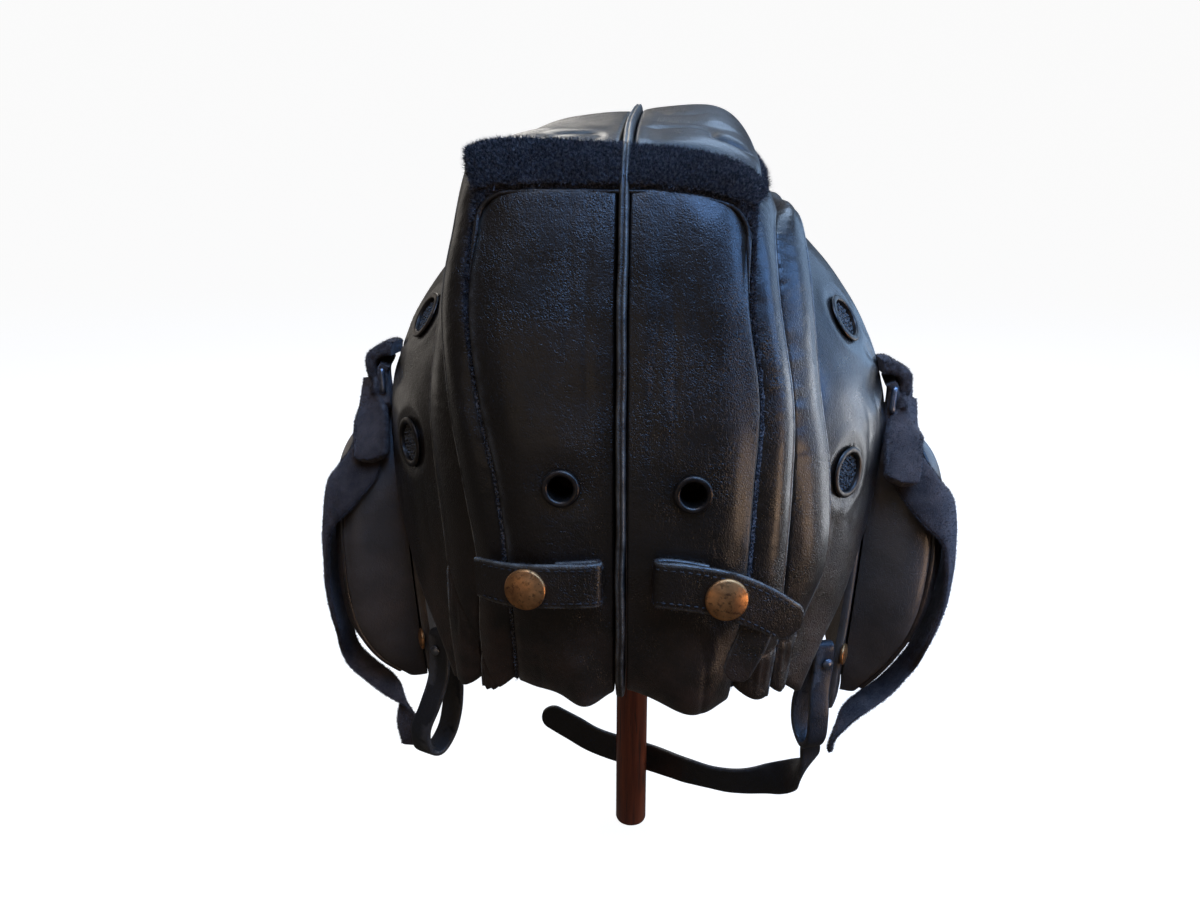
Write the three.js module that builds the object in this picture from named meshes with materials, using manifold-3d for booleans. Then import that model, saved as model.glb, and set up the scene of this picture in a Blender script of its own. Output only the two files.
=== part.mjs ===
// Leather tanker helmet on a plain wooden stand post.
//
// Millimetres, +Z up. +Y is the way the wearer looks and +X is the wearer's right. The origin is
// the crown seat: the point inside the crown that rests on the post.
//
// Every soft piece lies on one base shell, which is the surface a head sees: half of an ellipsoid
// above the ears and half of a much taller one below them. A padded block runs over the median
// from nape to forehead, with two padded ridges along each of its edges and a plain side panel
// below them. Each piece goes right through the wall, so neighbours meet edge to edge.

import * as THREE from 'three';
import { mergeVertices } from 'three/addons/utils/BufferGeometryUtils.js';
import Module from 'manifold-3d';

const wasm = await Module();
wasm.setup();

// Driving dimensions
const shell = { half: 103, back: 100, front: 106, up: 106, down: 350, wall: 3, roundness: 1.72 };
const shellCentre = new THREE.Vector3(0, 0, -103);
const gap = 0.4;
const roundSteps = 12;
const leather = 2.5;
const welt = { half: 1.7, rise: 1.8 };
const band = { rearRow: 6, frontRow: 7, beyond: 0.002, skew: 0.0125, pile: 2.5 };
const groove = { fleece: 3.4, between: 2.2, floor: 1.5, step: 4, least: 2.5 };
const vent = { hole: 15.4, outer: 19, opening: 14, thick: 1.2, barrel: 2.6, mesh: 0.8 };
const eyelet = { hole: 9.6, outer: 12.2, opening: 8.1, thick: 1.2, barrel: 5 };
const snap = { across: 13.6, thick: 2.4 };
const earSnap = { across: 9, turn: 66.2, z: -197 };
const rivet = 4.6;
const slide = { long: 27, tall: 13, bar: 3, thick: 2.8, left: [-108.4, -13.8, -90.5],
  right: [108.4, -14.4, -95.2] };
const post = { radius: 7.25, foot: -309, capRadius: 30, capFall: 9.8, capEdge: 5, neck: 14 };

// Colours and finishes
const finishes = {
  blackLeather: { color: 0x2b2522, roughness: 0.45, metalness: 0 },
  blackFleece: { color: 0x15141a, roughness: 1, metalness: 0 },
  greyLeather: { color: 0x4a403a, roughness: 0.5, metalness: 0 },
  suede: { color: 0x2f2629, roughness: 0.95, metalness: 0 },
  strapLeather: { color: 0x35343b, roughness: 0.6, metalness: 0 },
  agedBrass: { color: 0x7a5a35, roughness: 0.4, metalness: 1 },
  darkMetal: { color: 0x3a3733, roughness: 0.45, metalness: 1 },
  meshCloth: { color: 0x3b332c, roughness: 0.9, metalness: 0 },
  wood: { color: 0x6e3a22, roughness: 0.3, metalness: 0 },
};

const helmet = new THREE.Group();

function addPiece(name, finish, geometry) {
  const material = new THREE.MeshStandardMaterial(finishes[finish]);
  const mesh = new THREE.Mesh(geometry, material);
  mesh.name = name;
  helmet.add(mesh);
  return mesh;
}

// Tables. Between its rows a column runs on a smooth curve through its values.
function smoothValue(knots, values, t) {
  const last = knots.length - 1;
  let i = 0;
  while (i < last - 1 && t > knots[i + 1]) i += 1;
  const slope = (k) => {
    const a = Math.max(k - 1, 0);
    const b = Math.min(k + 1, last);
    return (values[b] - values[a]) / (knots[b] - knots[a]);
  };
  const step = knots[i + 1] - knots[i];
  const w = (t - knots[i]) / step;
  return (2 * w ** 3 - 3 * w ** 2 + 1) * values[i] + (w ** 3 - 2 * w ** 2 + w) * step * slope(i)
    + (3 * w ** 2 - 2 * w ** 3) * values[i + 1] + (w ** 3 - w ** 2) * step * slope(i + 1);
}

function smoothTable(columns, rows, knots = rows.map((row, i) => i / (rows.length - 1))) {
  const read = {};
  columns.forEach((name, c) => {
    const values = rows.map((row) => row[c]);
    read[name] = (t) => smoothValue(knots, values, t);
  });
  return read;
}

const range = (count) => Array.from({ length: count }, (_, i) => i / (count - 1));
const mix = THREE.MathUtils.lerp;
const radians = THREE.MathUtils.degToRad;

// Sections of the helmet, one row for each station of the median from nape to forehead. y and z
// place the median line of the block. half is the block's half width and shift moves it sideways.
// Its surface falls by drop at its edges, with the given power, less corner at its left edge, and
// tilts sideways by tilt. sag is how far the section hangs lower at sagAt millimetres from the
// median. turn and rise are the angles, from the rear and from the level of the shell's centre, at
// which the side panel's rim meets the strip that starts at this station.
const sagAt = 60;
const sectionColumns = ['y', 'z', 'half', 'shift', 'drop', 'power', 'corner', 'tilt', 'sag', 'turn',
  'rise'];
const sectionRows = [
  [-103, -181, 37.75, 0.25, 6, 4, 0, 0, 15, 42.5, -44],
  [-109, -163, 38.35, 1.15, 5, 4, 0, 0, 7, 48, -37.5],
  [-112, -139, 39.9, 1.9, 4, 4, 0, 0, 2, 55, -31],
  [-113, -105, 42.15, 0.95, 4, 4, 0, 0, 0, 62, -22],
  [-111.5, -78, 45.15, -1.35, 4, 4, 0, 0, 0, 68, -15],
  [-108, -47, 44.5, -5, 4, 5, 0, 0, 0, 73, -7],
  [-99, -14, 42.9, -3.4, 6, 6, 1.5, -0.02, 0, 77.5, -0.5],
  [-88, -3, 46.5, -3.5, 8, 6, 3, -0.08, 0, 80, 4],
  [-73, 3.6, 47.65, -3.85, 10, 6, 3, -0.03, 0, 84, 7.5],
  [-45, 10.2, 48.5, -4, 15, 6, 3, 0.05, 0, 90, 9.5],
  [-15, 15.8, 49, -4, 18, 6, 2, 0.1, 0, 97, 10],
  [10, 18.8, 48, -3, 18, 6, 0, 0.09, 0, 104, 9],
  [45, 16.8, 47, -1, 16, 6, 0, 0.06, 0, 112, 6],
  [75, 7, 45, 0, 12, 6, 0, 0, 0, 120, 1],
  [97, -15, 43, 0, 8, 5, 0, 0, 0, 128, -2],
  [108, -42, 42, 0, 6, 4, 0, 0, 0, 134, 4],
  [111, -70, 41, 0, 5, 4, 0, 0, 0, 138, 13],
];

// The ridges' crests at the same stations: x, y and z of the first and second one on the left, and
// then on the right. The padding is uneven, so the two sides differ.
const crestColumns = ['x1left', 'y1left', 'z1left', 'x2left', 'y2left', 'z2left',
  'x1right', 'y1right', 'z1right', 'x2right', 'y2right', 'z2right'];
const crestRows = [
  [-51.5, -89.5, -191, -62, -80.5, -194.5, 52, -89.5, -190.5, 57, -80.5, -191.5],
  [-50.5, -94.5, -165, -65, -80.5, -165, 54, -94.5, -165.5, 63, -80.5, -164.5],
  [-49.5, -97, -139.5, -65.5, -80, -139, 54.5, -97, -139.5, 71.5, -80, -139.5],
  [-54, -98, -105, -68, -80, -105.5, 55, -98, -105, 70.5, -80, -105.5],
  [-57.5, -96.5, -79.5, -68.5, -78.5, -81, 54, -96.5, -79.5, 66, -78.5, -81],
  [-59, -92.5, -50, -63, -76, -50, 48.5, -93, -49, 61.5, -75.5, -48],
  [-55, -87, -25, -60, -70, -31.5, 46.5, -84.5, -27.5, 59.5, -70.5, -33.5],
  [-53.5, -78, -12.5, -58.5, -62, -22.5, 47, -75, -21, 58, -63, -25],
  [-53.5, -68, -8, -58.5, -53, -19, 47, -64, -18, 57, -54.5, -21],
  [-54.5, -42, -6.5, -61, -38, -19.5, 47.5, -39, -17, 56.5, -38, -20],
  [-56, -11, -6.5, -65, -8.5, -21.5, 48, -10, -13.5, 57, -9, -20.5],
  [-54, 10.5, -8, -64, 10.5, -19, 48, 10.5, -11, 58, 10.5, -19],
  [-52, 39.5, -8.5, -62, 37.5, -19.5, 50, 39.5, -9.5, 60, 37.5, -19.5],
  [-50, 63, -11.5, -61, 57, -21.5, 50, 63, -11.5, 61, 57, -21.5],
  [-50, 83, -24.5, -62, 73, -31, 50, 83, -24.5, 62, 73, -31],
  [-51, 93.5, -45.5, -63, 82, -48.5, 51, 93.5, -45.5, 63, 82, -48.5],
  [-51, 97, -71.5, -63, 86, -72.5, 51, 97, -71.5, 63, 86, -72.5],
];

const chords = sectionRows.slice(1).map((row, i) => (
  Math.hypot(row[0] - sectionRows[i][0], row[1] - sectionRows[i][1])));
const medianLength = chords.reduce((sum, chord) => sum + chord, 0);
let walked = 0;
const stations = [0, ...chords.map((chord) => (walked += chord) / medianLength)];
const section = smoothTable(sectionColumns, sectionRows, stations);
const crests = smoothTable(crestColumns, crestRows, stations);

// A point at station s, x to the side and n out from the median line, square to that line.
function fromMedian(s, x, n) {
  const small = 1e-3;
  const a = Math.max(s - small, 0);
  const b = Math.min(s + small, 1);
  const alongY = section.y(b) - section.y(a);
  const alongZ = section.z(b) - section.z(a);
  const length = Math.hypot(alongY, alongZ);
  const hang = section.sag(s) * (x / sagAt) ** 2;
  return new THREE.Vector3(x, section.y(s) - (n * alongZ) / length,
    section.z(s) + (n * alongY) / length - hang);
}

// The block's outer surface, with u from -1 at its left edge to 1 at its right.
function onBlock(s, u) {
  const x = u * section.half(s) + section.shift(s) * Math.abs(u);
  const drop = section.drop(s) - (u < 0 ? section.corner(s) : 0);
  const n = -drop * Math.abs(u) ** section.power(s) + section.tilt(s) * x;
  return fromMedian(s, x, n);
}

function crestPoint(s, ridge, side) {
  const which = ridge + (side < 0 ? 'left' : 'right');
  return new THREE.Vector3(...['x', 'y', 'z'].map((axis) => crests[axis + which](s)));
}

// The base shell: how far it is from its centre along a direction, and a point on it. Level
// sections are ellipses. Upright ones are ellipses below the centre, and above it their power is
// the roundness, which slopes the shoulders a little more.
function shellRadius(d) {
  const level = Math.hypot(d.x / shell.half, d.y / (d.y < 0 ? shell.back : shell.front));
  const power = d.z < 0 ? 2 : shell.roundness;
  const upright = Math.abs(d.z) / (d.z < 0 ? shell.down : shell.up);
  return (level ** power + upright ** power) ** (-1 / power);
}

// How wide the level section at height z is, as a share of the widest one.
function ringShare(z) {
  const power = z < shellCentre.z ? 2 : shell.roundness;
  const upright = Math.abs(z - shellCentre.z) / (z < shellCentre.z ? shell.down : shell.up);
  return (1 - upright ** power) ** (1 / power);
}

// The outward normal of the base shell, from two short steps on it.
function shellNormal(d) {
  const small = 0.01;
  const across = new THREE.Vector3(-d.y, d.x, 0).setLength(small);
  const upward = new THREE.Vector3().crossVectors(d, across).setLength(small);
  const step = (way) => onShell(d.clone().add(way).normalize(), 0);
  const normal = new THREE.Vector3().crossVectors(step(across).sub(step(across.clone().negate())),
    step(upward).sub(step(upward.clone().negate()))).normalize();
  return normal.dot(d) < 0 ? normal.negate() : normal;
}

function directionOf(p) {
  return p.clone().sub(shellCentre).normalize();
}

function onShell(direction, height) {
  return direction.clone().multiplyScalar(shellRadius(direction) + height).add(shellCentre);
}

function heightOf(p) {
  return p.distanceTo(shellCentre) - shellRadius(directionOf(p));
}

function innerOf(p) {
  return onShell(directionOf(p), -shell.wall);
}

function raised(p, lift) {
  return p.clone().addScaledVector(directionOf(p), lift);
}

// The direction that lies arc millimetres further round the shell than a point, away from the
// median on the given side and square to the median line at station s.
function pastPoint(p, s, side, arc) {
  const d = directionOf(p);
  const along = fromMedian(Math.min(s + 0.01, 1), 0, 0).sub(fromMedian(Math.max(s - 0.01, 0), 0, 0));
  const across = new THREE.Vector3().crossVectors(along, d).normalize();
  if (across.x * side < 0) across.negate();
  return d.clone().multiplyScalar(p.distanceTo(shellCentre)).addScaledVector(across, arc).normalize();
}

function between(a, b, t) {
  const angle = a.angleTo(b);
  const fromA = Math.sin((1 - t) * angle) / Math.sin(angle);
  const fromB = Math.sin(t * angle) / Math.sin(angle);
  return a.clone().multiplyScalar(fromA).addScaledVector(b, fromB).normalize();
}

// Level rings of the shell below the ears: turn degrees round from the rear, at height z, and out
// millimetres level out from the shell.
function onRing(side, turn, z, out) {
  const a = radians(turn);
  const k = ringShare(z);
  const depth = Math.cos(a) > 0 ? shell.back : shell.front;
  return new THREE.Vector3(side * Math.sin(a) * (shell.half * k + out),
    -Math.cos(a) * (depth * k + out), z);
}

// Closed meshes
function closedMesh(points, faces) {
  const at = (i) => points[i];
  let volume = 0;
  faces.forEach(([a, b, c]) => {
    volume += at(a).dot(new THREE.Vector3().crossVectors(at(b), at(c)));
  });
  const index = faces.flatMap(([a, b, c]) => (volume < 0 ? [a, c, b] : [a, b, c]));
  const geometry = new THREE.BufferGeometry();
  const positions = points.flatMap((p) => p.toArray());
  geometry.setAttribute('position', new THREE.Float32BufferAttribute(positions, 3));
  geometry.setIndex(index);
  return geometry;
}

// A wall between two grids of points of the same size.
function slab(outer, inner) {
  const rows = outer.length;
  const columns = outer[0].length;
  const faces = [];
  const at = (layer, i, j) => (layer * rows + i) * columns + j;
  const quad = (a, b, c, d) => faces.push([a, b, c], [a, c, d]);
  for (let i = 0; i < rows - 1; i += 1) {
    for (let j = 0; j < columns - 1; j += 1) {
      quad(at(0, i, j), at(0, i + 1, j), at(0, i + 1, j + 1), at(0, i, j + 1));
      quad(at(1, i, j), at(1, i, j + 1), at(1, i + 1, j + 1), at(1, i + 1, j));
    }
    quad(at(0, i, 0), at(1, i, 0), at(1, i + 1, 0), at(0, i + 1, 0));
    const j = columns - 1;
    quad(at(0, i, j), at(0, i + 1, j), at(1, i + 1, j), at(1, i, j));
  }
  for (let j = 0; j < columns - 1; j += 1) {
    quad(at(0, 0, j), at(0, 0, j + 1), at(1, 0, j + 1), at(1, 0, j));
    const i = rows - 1;
    quad(at(0, i, j), at(1, i, j), at(1, i, j + 1), at(0, i, j + 1));
  }
  return closedMesh([...outer.flat(), ...inner.flat()], faces);
}

// A closed body through a row of rings with the same number of points.
function loft(rings) {
  const count = rings[0].length;
  const points = rings.flat();
  const faces = [];
  for (let i = 0; i < rings.length - 1; i += 1) {
    for (let j = 0; j < count; j += 1) {
      const k = (j + 1) % count;
      const a = i * count + j;
      const b = i * count + k;
      faces.push([a, a + count, b + count], [a, b + count, b]);
    }
  }
  const middle = (ring) => ring.reduce((sum, p) => sum.add(p), new THREE.Vector3())
    .divideScalar(count);
  const start = points.push(middle(rings[0])) - 1;
  const end = points.push(middle(rings.at(-1))) - 1;
  const lastRing = (rings.length - 1) * count;
  for (let j = 0; j < count; j += 1) {
    const k = (j + 1) % count;
    faces.push([start, j, k], [end, lastRing + k, lastRing + j]);
  }
  return closedMesh(points, faces);
}

// A flat strap along a path of rows with columns x, y, z, wide (its width) and the direction of
// that width (wx, wy, wz). Its section is a flat box with chamfered edges.
const strapColumns = ['x', 'y', 'z', 'wide', 'wx', 'wy', 'wz'];

function strap(rows, thick, steps) {
  const path = smoothTable(strapColumns, rows);
  const place = (t) => new THREE.Vector3(path.x(t), path.y(t), path.z(t));
  const corners = [[-1, 0.4], [-0.92, 1], [0.92, 1], [1, 0.4], [1, -0.4], [0.92, -1], [-0.92, -1],
    [-1, -0.4]];
  return loft(range(steps).map((t) => {
    const along = place(Math.min(t + 0.01, 1)).sub(place(Math.max(t - 0.01, 0))).normalize();
    const across = new THREE.Vector3(path.wx(t), path.wy(t), path.wz(t));
    across.addScaledVector(along, -across.dot(along)).normalize();
    const face = new THREE.Vector3().crossVectors(along, across);
    return corners.map(([a, b]) => place(t).addScaledVector(across, (a * path.wide(t)) / 2)
      .addScaledVector(face, (b * thick) / 2));
  }));
}

// Cuts, made on solids
function toSolid(geometry) {
  const plain = geometry.clone();
  plain.deleteAttribute('normal');
  plain.deleteAttribute('uv');
  const merged = mergeVertices(plain, 1e-4);
  return new wasm.Manifold(new wasm.Mesh({
    numProp: 3,
    vertProperties: new Float32Array(merged.attributes.position.array),
    triVerts: new Uint32Array(merged.index.array),
  }));
}

function toGeometry(solid) {
  const mesh = solid.getMesh();
  const geometry = new THREE.BufferGeometry();
  geometry.setAttribute('position', new THREE.Float32BufferAttribute(mesh.vertProperties, 3));
  geometry.setIndex(Array.from(mesh.triVerts));
  return geometry;
}

function cutHoles(geometry, cutters) {
  let solid = toSolid(geometry);
  cutters.forEach((cutter) => {
    solid = solid.subtract(toSolid(cutter));
  });
  return toGeometry(solid);
}

// A lathe profile of radius and height pairs, turned about +Y and then laid along a direction.
function turned(profile, segments, place, direction) {
  const points = profile.map(([radius, height]) => new THREE.Vector2(radius, height));
  const geometry = new THREE.LatheGeometry(points, segments);
  const turn = new THREE.Quaternion().setFromUnitVectors(new THREE.Vector3(0, 1, 0), direction);
  geometry.applyQuaternion(turn);
  geometry.translate(place.x, place.y, place.z);
  return geometry;
}

function boreCutter(across, place, direction) {
  const reach = 30;
  const radius = across / 2;
  const profile = [[0, -reach], [radius, -reach], [radius, reach], [0, reach]];
  return turned(profile, roundSteps, place, direction);
}

// Metal ring with a flange on the leather and a barrel through it.
function grommetProfile(size) {
  const inner = size.opening / 2;
  const outer = size.outer / 2;
  const barrel = size.hole / 2 - 0.3;
  return [[inner, -size.barrel], [barrel, -size.barrel], [barrel, 0.3], [outer, 0.3],
    [outer - 0.3, size.thick], [inner + 0.6, size.thick + 0.3], [inner, size.thick - 0.3],
    [inner, -size.barrel]];
}

// The outward direction of the block at a place near (x, z) on its back.
function backPlace(x, z) {
  let low = 0;
  let high = stations[6];
  for (let i = 0; i < 30; i += 1) {
    const s = (low + high) / 2;
    if (section.z(s) < z) low = s;
    else high = s;
  }
  const s = (low + high) / 2;
  const half = section.half(s) + Math.sign(x) * section.shift(s);
  return { s, u: x / half };
}

function backNormal(s, u) {
  const small = 0.02;
  const a = onBlock(s + small, u).sub(onBlock(s - small, u));
  const b = onBlock(s, u + small).sub(onBlock(s, u - small));
  const normal = new THREE.Vector3().crossVectors(a, b).normalize();
  return normal.dot(directionOf(onBlock(s, u))) < 0 ? normal.negate() : normal;
}

const sides = [{ name: 'left', side: -1 }, { name: 'right', side: 1 }];
const bandRear = stations[band.rearRow];
const bandFront = stations[band.frontRow] + band.beyond;
const bandEdge = (s, u) => s - band.skew * Math.max(u, 0) ** 2;

// The leather of the nape is gathered in two soft lumps over the hem. x and z place a lump, wide
// and tall are its reach, out is how far it stands out and down how far it hangs below the hem.
const lumps = [
  { x: -12, z: -178, wide: 8, tall: 13, out: 4, down: 5 },
  { x: 26, z: -176, wide: 15, tall: 15, out: 5, down: 6 },
];

function gathered(p) {
  lumps.forEach((lump) => {
    const share = Math.exp(-(((p.x - lump.x) / lump.wide) ** 2) - ((p.z - lump.z) / lump.tall) ** 2);
    p.y -= lump.out * share;
    p.z -= lump.down * share;
  });
  return p;
}

// The padded block: back panel, fleece band and top panel on each side of the centre welt.
function blockPiece(side, from, to, rows, lift) {
  const acrossSteps = [0, 0.35, 0.65, 0.85, 0.95, 1];
  const outer = range(rows).map((t) => acrossSteps.map((step) => {
    const s = mix(from(side * step), to(side * step), t);
    const start = (welt.half + gap) / section.half(s);
    return gathered(raised(onBlock(s, side * mix(start, 1, step)), lift));
  }));
  return slab(outer, outer.map((row) => row.map(innerOf)));
}

const eyelets = { left: { x: -18.6, z: -105 }, right: { x: 22.6, z: -106 } };

sides.forEach(({ name, side }) => {
  const seam = gap / 2 / medianLength;
  const hole = eyelets[name];
  const { s, u } = backPlace(hole.x, hole.z);
  const normal = backNormal(s, u);
  const place = onBlock(s, u);
  const back = blockPiece(side, () => 0, (v) => bandEdge(bandRear, v) - seam, 13, 0);
  const cut = cutHoles(back, [boreCutter(eyelet.hole, place, normal)]);
  addPiece(`back_panel_${name}`, 'blackLeather', cut);
  addPiece(`nape_eyelet_${name}`, 'darkMetal',
    turned(grommetProfile(eyelet), roundSteps, place, normal));
  addPiece(`fleece_band_${name}`, 'blackFleece', blockPiece(side,
    (v) => bandEdge(bandRear, v) + seam, (v) => bandEdge(bandFront, v) - seam, 5, band.pile));
  addPiece(`top_panel_${name}`, 'blackLeather', blockPiece(side,
    (v) => bandEdge(bandFront, v) + seam, () => 1, 16, 0));
});

// The strip of fleece in the groove beside the block, and the two ridges beyond it.
function ridgeProfile(s, ridge, side) {
  const crest = crestPoint(s, ridge, side);
  const top = Math.max(heightOf(crest), groove.least);
  const edge = ridge === 1 ? onBlock(s, side) : crestPoint(s, 1, side);
  const from = pastPoint(edge, s, side, ridge === 1 ? groove.fleece : groove.between + gap);
  const to = pastPoint(crest, s, side, groove.between);
  const low = ridge === 1 ? groove.floor : Math.max(heightOf(edge) - groove.step, groove.floor);
  const foot = ridge === 1 ? Math.max(top - groove.step, groove.floor) : 0.3;
  const crestAt = 0.84;
  return [0, 0.12, 0.32, 0.58, crestAt, 0.94, 1].map((v) => {
    const rising = low + (top - low) * (1 - (1 - v / crestAt) ** 2.4);
    const falling = mix(top, foot, (v - crestAt) / (1 - crestAt));
    return onShell(between(from, to, v), v <= crestAt ? rising : falling);
  });
}

// The stations at which the long pieces are cut, closer together where the crown turns.
const halfway = (row) => (stations[row] + stations[row + 1]) / 2;
const along = [...stations, ...[2, 5, 6, 7, 8, 9, 11].map(halfway)].sort((a, b) => a - b);

// The centre welt stands proud of the panels and climbs over the fleece band. The share of that
// climb is 1 on the band and 0 away from it.
function climb(s) {
  const reach = 0.02;
  const rising = THREE.MathUtils.smoothstep(s, bandRear - reach, bandRear + reach / 2);
  return rising - THREE.MathUtils.smoothstep(s, bandFront - reach / 2, bandFront + reach);
}

const weltOuter = along.map((s) => [-1, -0.6, 0.6, 1].map((across) => {
  const rise = Math.abs(across) < 1 ? welt.rise + band.pile * climb(s) : 0.3;
  return fromMedian(s, across * welt.half, rise);
}));
addPiece('centre_welt', 'blackLeather', slab(weltOuter, weltOuter.map((row) => row.map(innerOf))));

sides.forEach(({ name, side }) => {
  const strip = along.map((s) => {
    const edge = onBlock(s, side);
    const height = Math.max(heightOf(edge) - 4, groove.floor);
    return [0.8, 1.9, groove.fleece - gap].map((arc) => (
      onShell(pastPoint(edge, s, side, arc), height)));
  });
  addPiece(`edge_fleece_${name}`, 'blackFleece', slab(strip, strip.map((row) => row.map(innerOf))));
  [[1, 'inner'], [2, 'outer']].forEach(([ridge, word]) => {
    const outer = along.map((s) => ridgeProfile(s, ridge, side));
    const inner = outer.map((row) => row.map(innerOf));
    addPiece(`${word}_ridge_${name}`, 'blackLeather', slab(outer, inner));
  });
});

// Side panels, from the outer ridge's foot to the rim over the ear, with two vents in each.
function rimDirection(s, side) {
  const turn = radians(section.turn(s));
  const rise = radians(section.rise(s));
  return new THREE.Vector3(side * Math.sin(turn) * Math.cos(rise),
    -Math.cos(turn) * Math.cos(rise), Math.sin(rise));
}

const vents = [
  { name: 'upper_left', side: -1, x: -81.6, y: -43.1, z: -57.8 },
  { name: 'lower_left', side: -1, x: -81.8, y: -60.5, z: -104.5 },
  { name: 'upper_right', side: 1, x: 82.7, y: -42.4, z: -57.3 },
  { name: 'lower_right', side: 1, x: 79.2, y: -63.6, z: -111.8 },
].map((row) => {
  const direction = directionOf(new THREE.Vector3(row.x, row.y, row.z));
  return { ...row, place: onShell(direction, 0), normal: shellNormal(direction) };
});

sides.forEach(({ name, side }) => {
  const outer = along.map((s) => {
    const from = pastPoint(crestPoint(s, 2, side), s, side, groove.between + 1.5 * gap);
    const to = rimDirection(s, side);
    return range(7).map((v) => onShell(between(from, to, v), 0));
  });
  const panel = slab(outer, outer.map((row) => row.map(innerOf)));
  const cutters = vents.filter((row) => row.side === side)
    .map((row) => boreCutter(vent.hole, row.place, row.normal));
  addPiece(`side_panel_${name}`, 'blackLeather', cutHoles(panel, cutters));
});

vents.forEach(({ name, place, normal }) => {
  addPiece(`vent_ring_${name}`, 'darkMetal', turned(grommetProfile(vent), roundSteps, place, normal));
  const radius = vent.opening / 2 - 0.3;
  const depth = -vent.barrel + vent.mesh;
  const disc = [[0, depth - vent.mesh], [radius, depth - vent.mesh], [radius, depth], [0, depth]];
  addPiece(`vent_mesh_${name}`, 'meshCloth', turned(disc, roundSteps, place, normal));
});

// Ear flap, tucked inside the side panel's rim, and the padded ear cup that it carries. rear and
// front are the cup's edges in degrees round from the back of the shell, left and right are each
// cup's depth, and hem is how many degrees the flap reaches behind the cup.
const cupColumns = ['z', 'rear', 'front', 'left', 'right', 'hem'];
const cupRows = [
  [-101, 84, 100, 3, 3, 2.2],
  [-106, 79, 108, 11, 11, 2.2],
  [-117, 74.5, 113, 21, 21, 2.2],
  [-131, 71.5, 115, 26, 26, 2.2],
  [-150, 70, 116, 28.5, 28.5, 2.2],
  [-165, 69.5, 115, 29.5, 28.5, 2.4],
  [-180, 69.5, 112, 29.5, 26.5, 3.5],
  [-195, 70, 106, 27, 21.5, 5],
  [-209, 71, 98, 19, 13, 6],
  [-220, 73, 86, 6, 4, 7],
];
const cup = smoothTable(cupColumns, cupRows);
const flap = { lift: -3.8, front: 2.2, top: 18, foot: 3.5 };
const cupFloor = flap.lift + 2 * gap;
const squareness = 2 / 4.5;

// The cup's outer surface, grown by some millimetres: t from its top to its tip, v from its rear
// edge to its front edge.
function onCup(name, side, t, v, grown = 0) {
  const a = Math.PI * v;
  const level = -Math.sign(Math.cos(a)) * Math.abs(Math.cos(a)) ** squareness;
  const depth = cup[name](t) + grown - cupFloor;
  const out = cupFloor + 0.3 + depth * Math.sin(a) ** squareness;
  const wider = THREE.MathUtils.radToDeg(grown / shell.half);
  return onRing(side, mix(cup.rear(t) - wider, cup.front(t) + wider, (level + 1) / 2),
    cup.z(t), out);
}

function cupMesh(name, side, grown) {
  return loft(range(11).map((t) => {
    const roof = range(11).map((v) => onCup(name, side, t, v, grown));
    const floor = [0.9, 0.7, 0.5, 0.3, 0.1].map((v) => (
      onRing(side, mix(cup.rear(t), cup.front(t), v), cup.z(t), cupFloor)));
    return [...roof, ...floor];
  }));
}

sides.forEach(({ name, side }) => {
  const layer = (out) => range(12).map((t) => {
    const z = cup.z(t) + mix(flap.top, -flap.foot, Math.min(3 * t, 1));
    const rear = cup.rear(t) - cup.hem(t);
    const front = cup.front(t) + flap.front;
    return range(8).map((v) => onRing(side, mix(rear, front, v), z, out));
  });
  const flapMesh = slab(layer(flap.lift), layer(flap.lift - leather));
  addPiece(`ear_flap_${name}`, 'greyLeather', flapMesh);

  addPiece(`ear_cup_${name}`, 'greyLeather', cupMesh(name, side, 0));
});

// Ear straps. Each lies over the upper rear corner of its cup, from the slide at the panel's edge
// to the cup's outer face. t1, v1 and t2, v2 are its rear and front edges on the cup. Below that it
// stands off the cup, runs round its tip and ends in a point.
const strapOnCupColumns = ['t1', 'v1', 't2', 'v2', 'left', 'right'];
const strapOnCupRows = [
  [0.20, 0.020, 0.10, 0.100, 1.2, 1.2],
  [0.29, 0.024, 0.16, 0.136, 1.4, 1.4],
  [0.338, 0.060, 0.218, 0.190, 1.6, 1.6],
  [0.372, 0.110, 0.28, 0.274, 1.9, 1.9],
  [0.40, 0.180, 0.33, 0.370, 2.2, 2.2],
  [0.43, 0.255, 0.385, 0.440, 2.5, 2.5],
  [0.50, 0.300, 0.47, 0.485, 3.0, 3.0],
  [0.59, 0.330, 0.57, 0.500, 3.3, 3.6],
  [0.68, 0.345, 0.67, 0.505, 3.8, 4.4],
  [0.77, 0.360, 0.76, 0.505, 4.5, 5.5],
];
const strapOnCup = smoothTable(strapOnCupColumns, strapOnCupRows);
const strapTails = {
  left: [
    [-133, -13, -206, 14, 0.1, 1, 0.3],
    [-126.9, -16, -217.8, 13, 0.1, 1, 0.3],
    [-119.4, -19, -223, 13, 0, 1, 0.3],
    [-108, -25, -227, 13, 0, 1, 0.3],
    [-100, -30, -231, 13, -0.5, 1, 0],
    [-97.5, -34, -240, 12, -1, 0.3, 0],
    [-97, -35, -250, 7, -1, 0, 0],
  ],
  right: [
    [126.6, -13, -205, 14, 0, 1, 0.3],
    [118.8, -16, -213.5, 13, 0, 1, 0.3],
    [110.5, -20, -221, 13, 0, 1, 0.3],
    [99.3, -26, -226.5, 13, 0, 1, 0.3],
    [92.2, -30, -231, 12, 0, 1, 0.2],
    [88, -33, -238, 10, 0.3, 1, 0],
    [86.8, -34, -244, 5, 0.3, 1, 0],
  ],
};

const acrossStrap = range(6);

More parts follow.
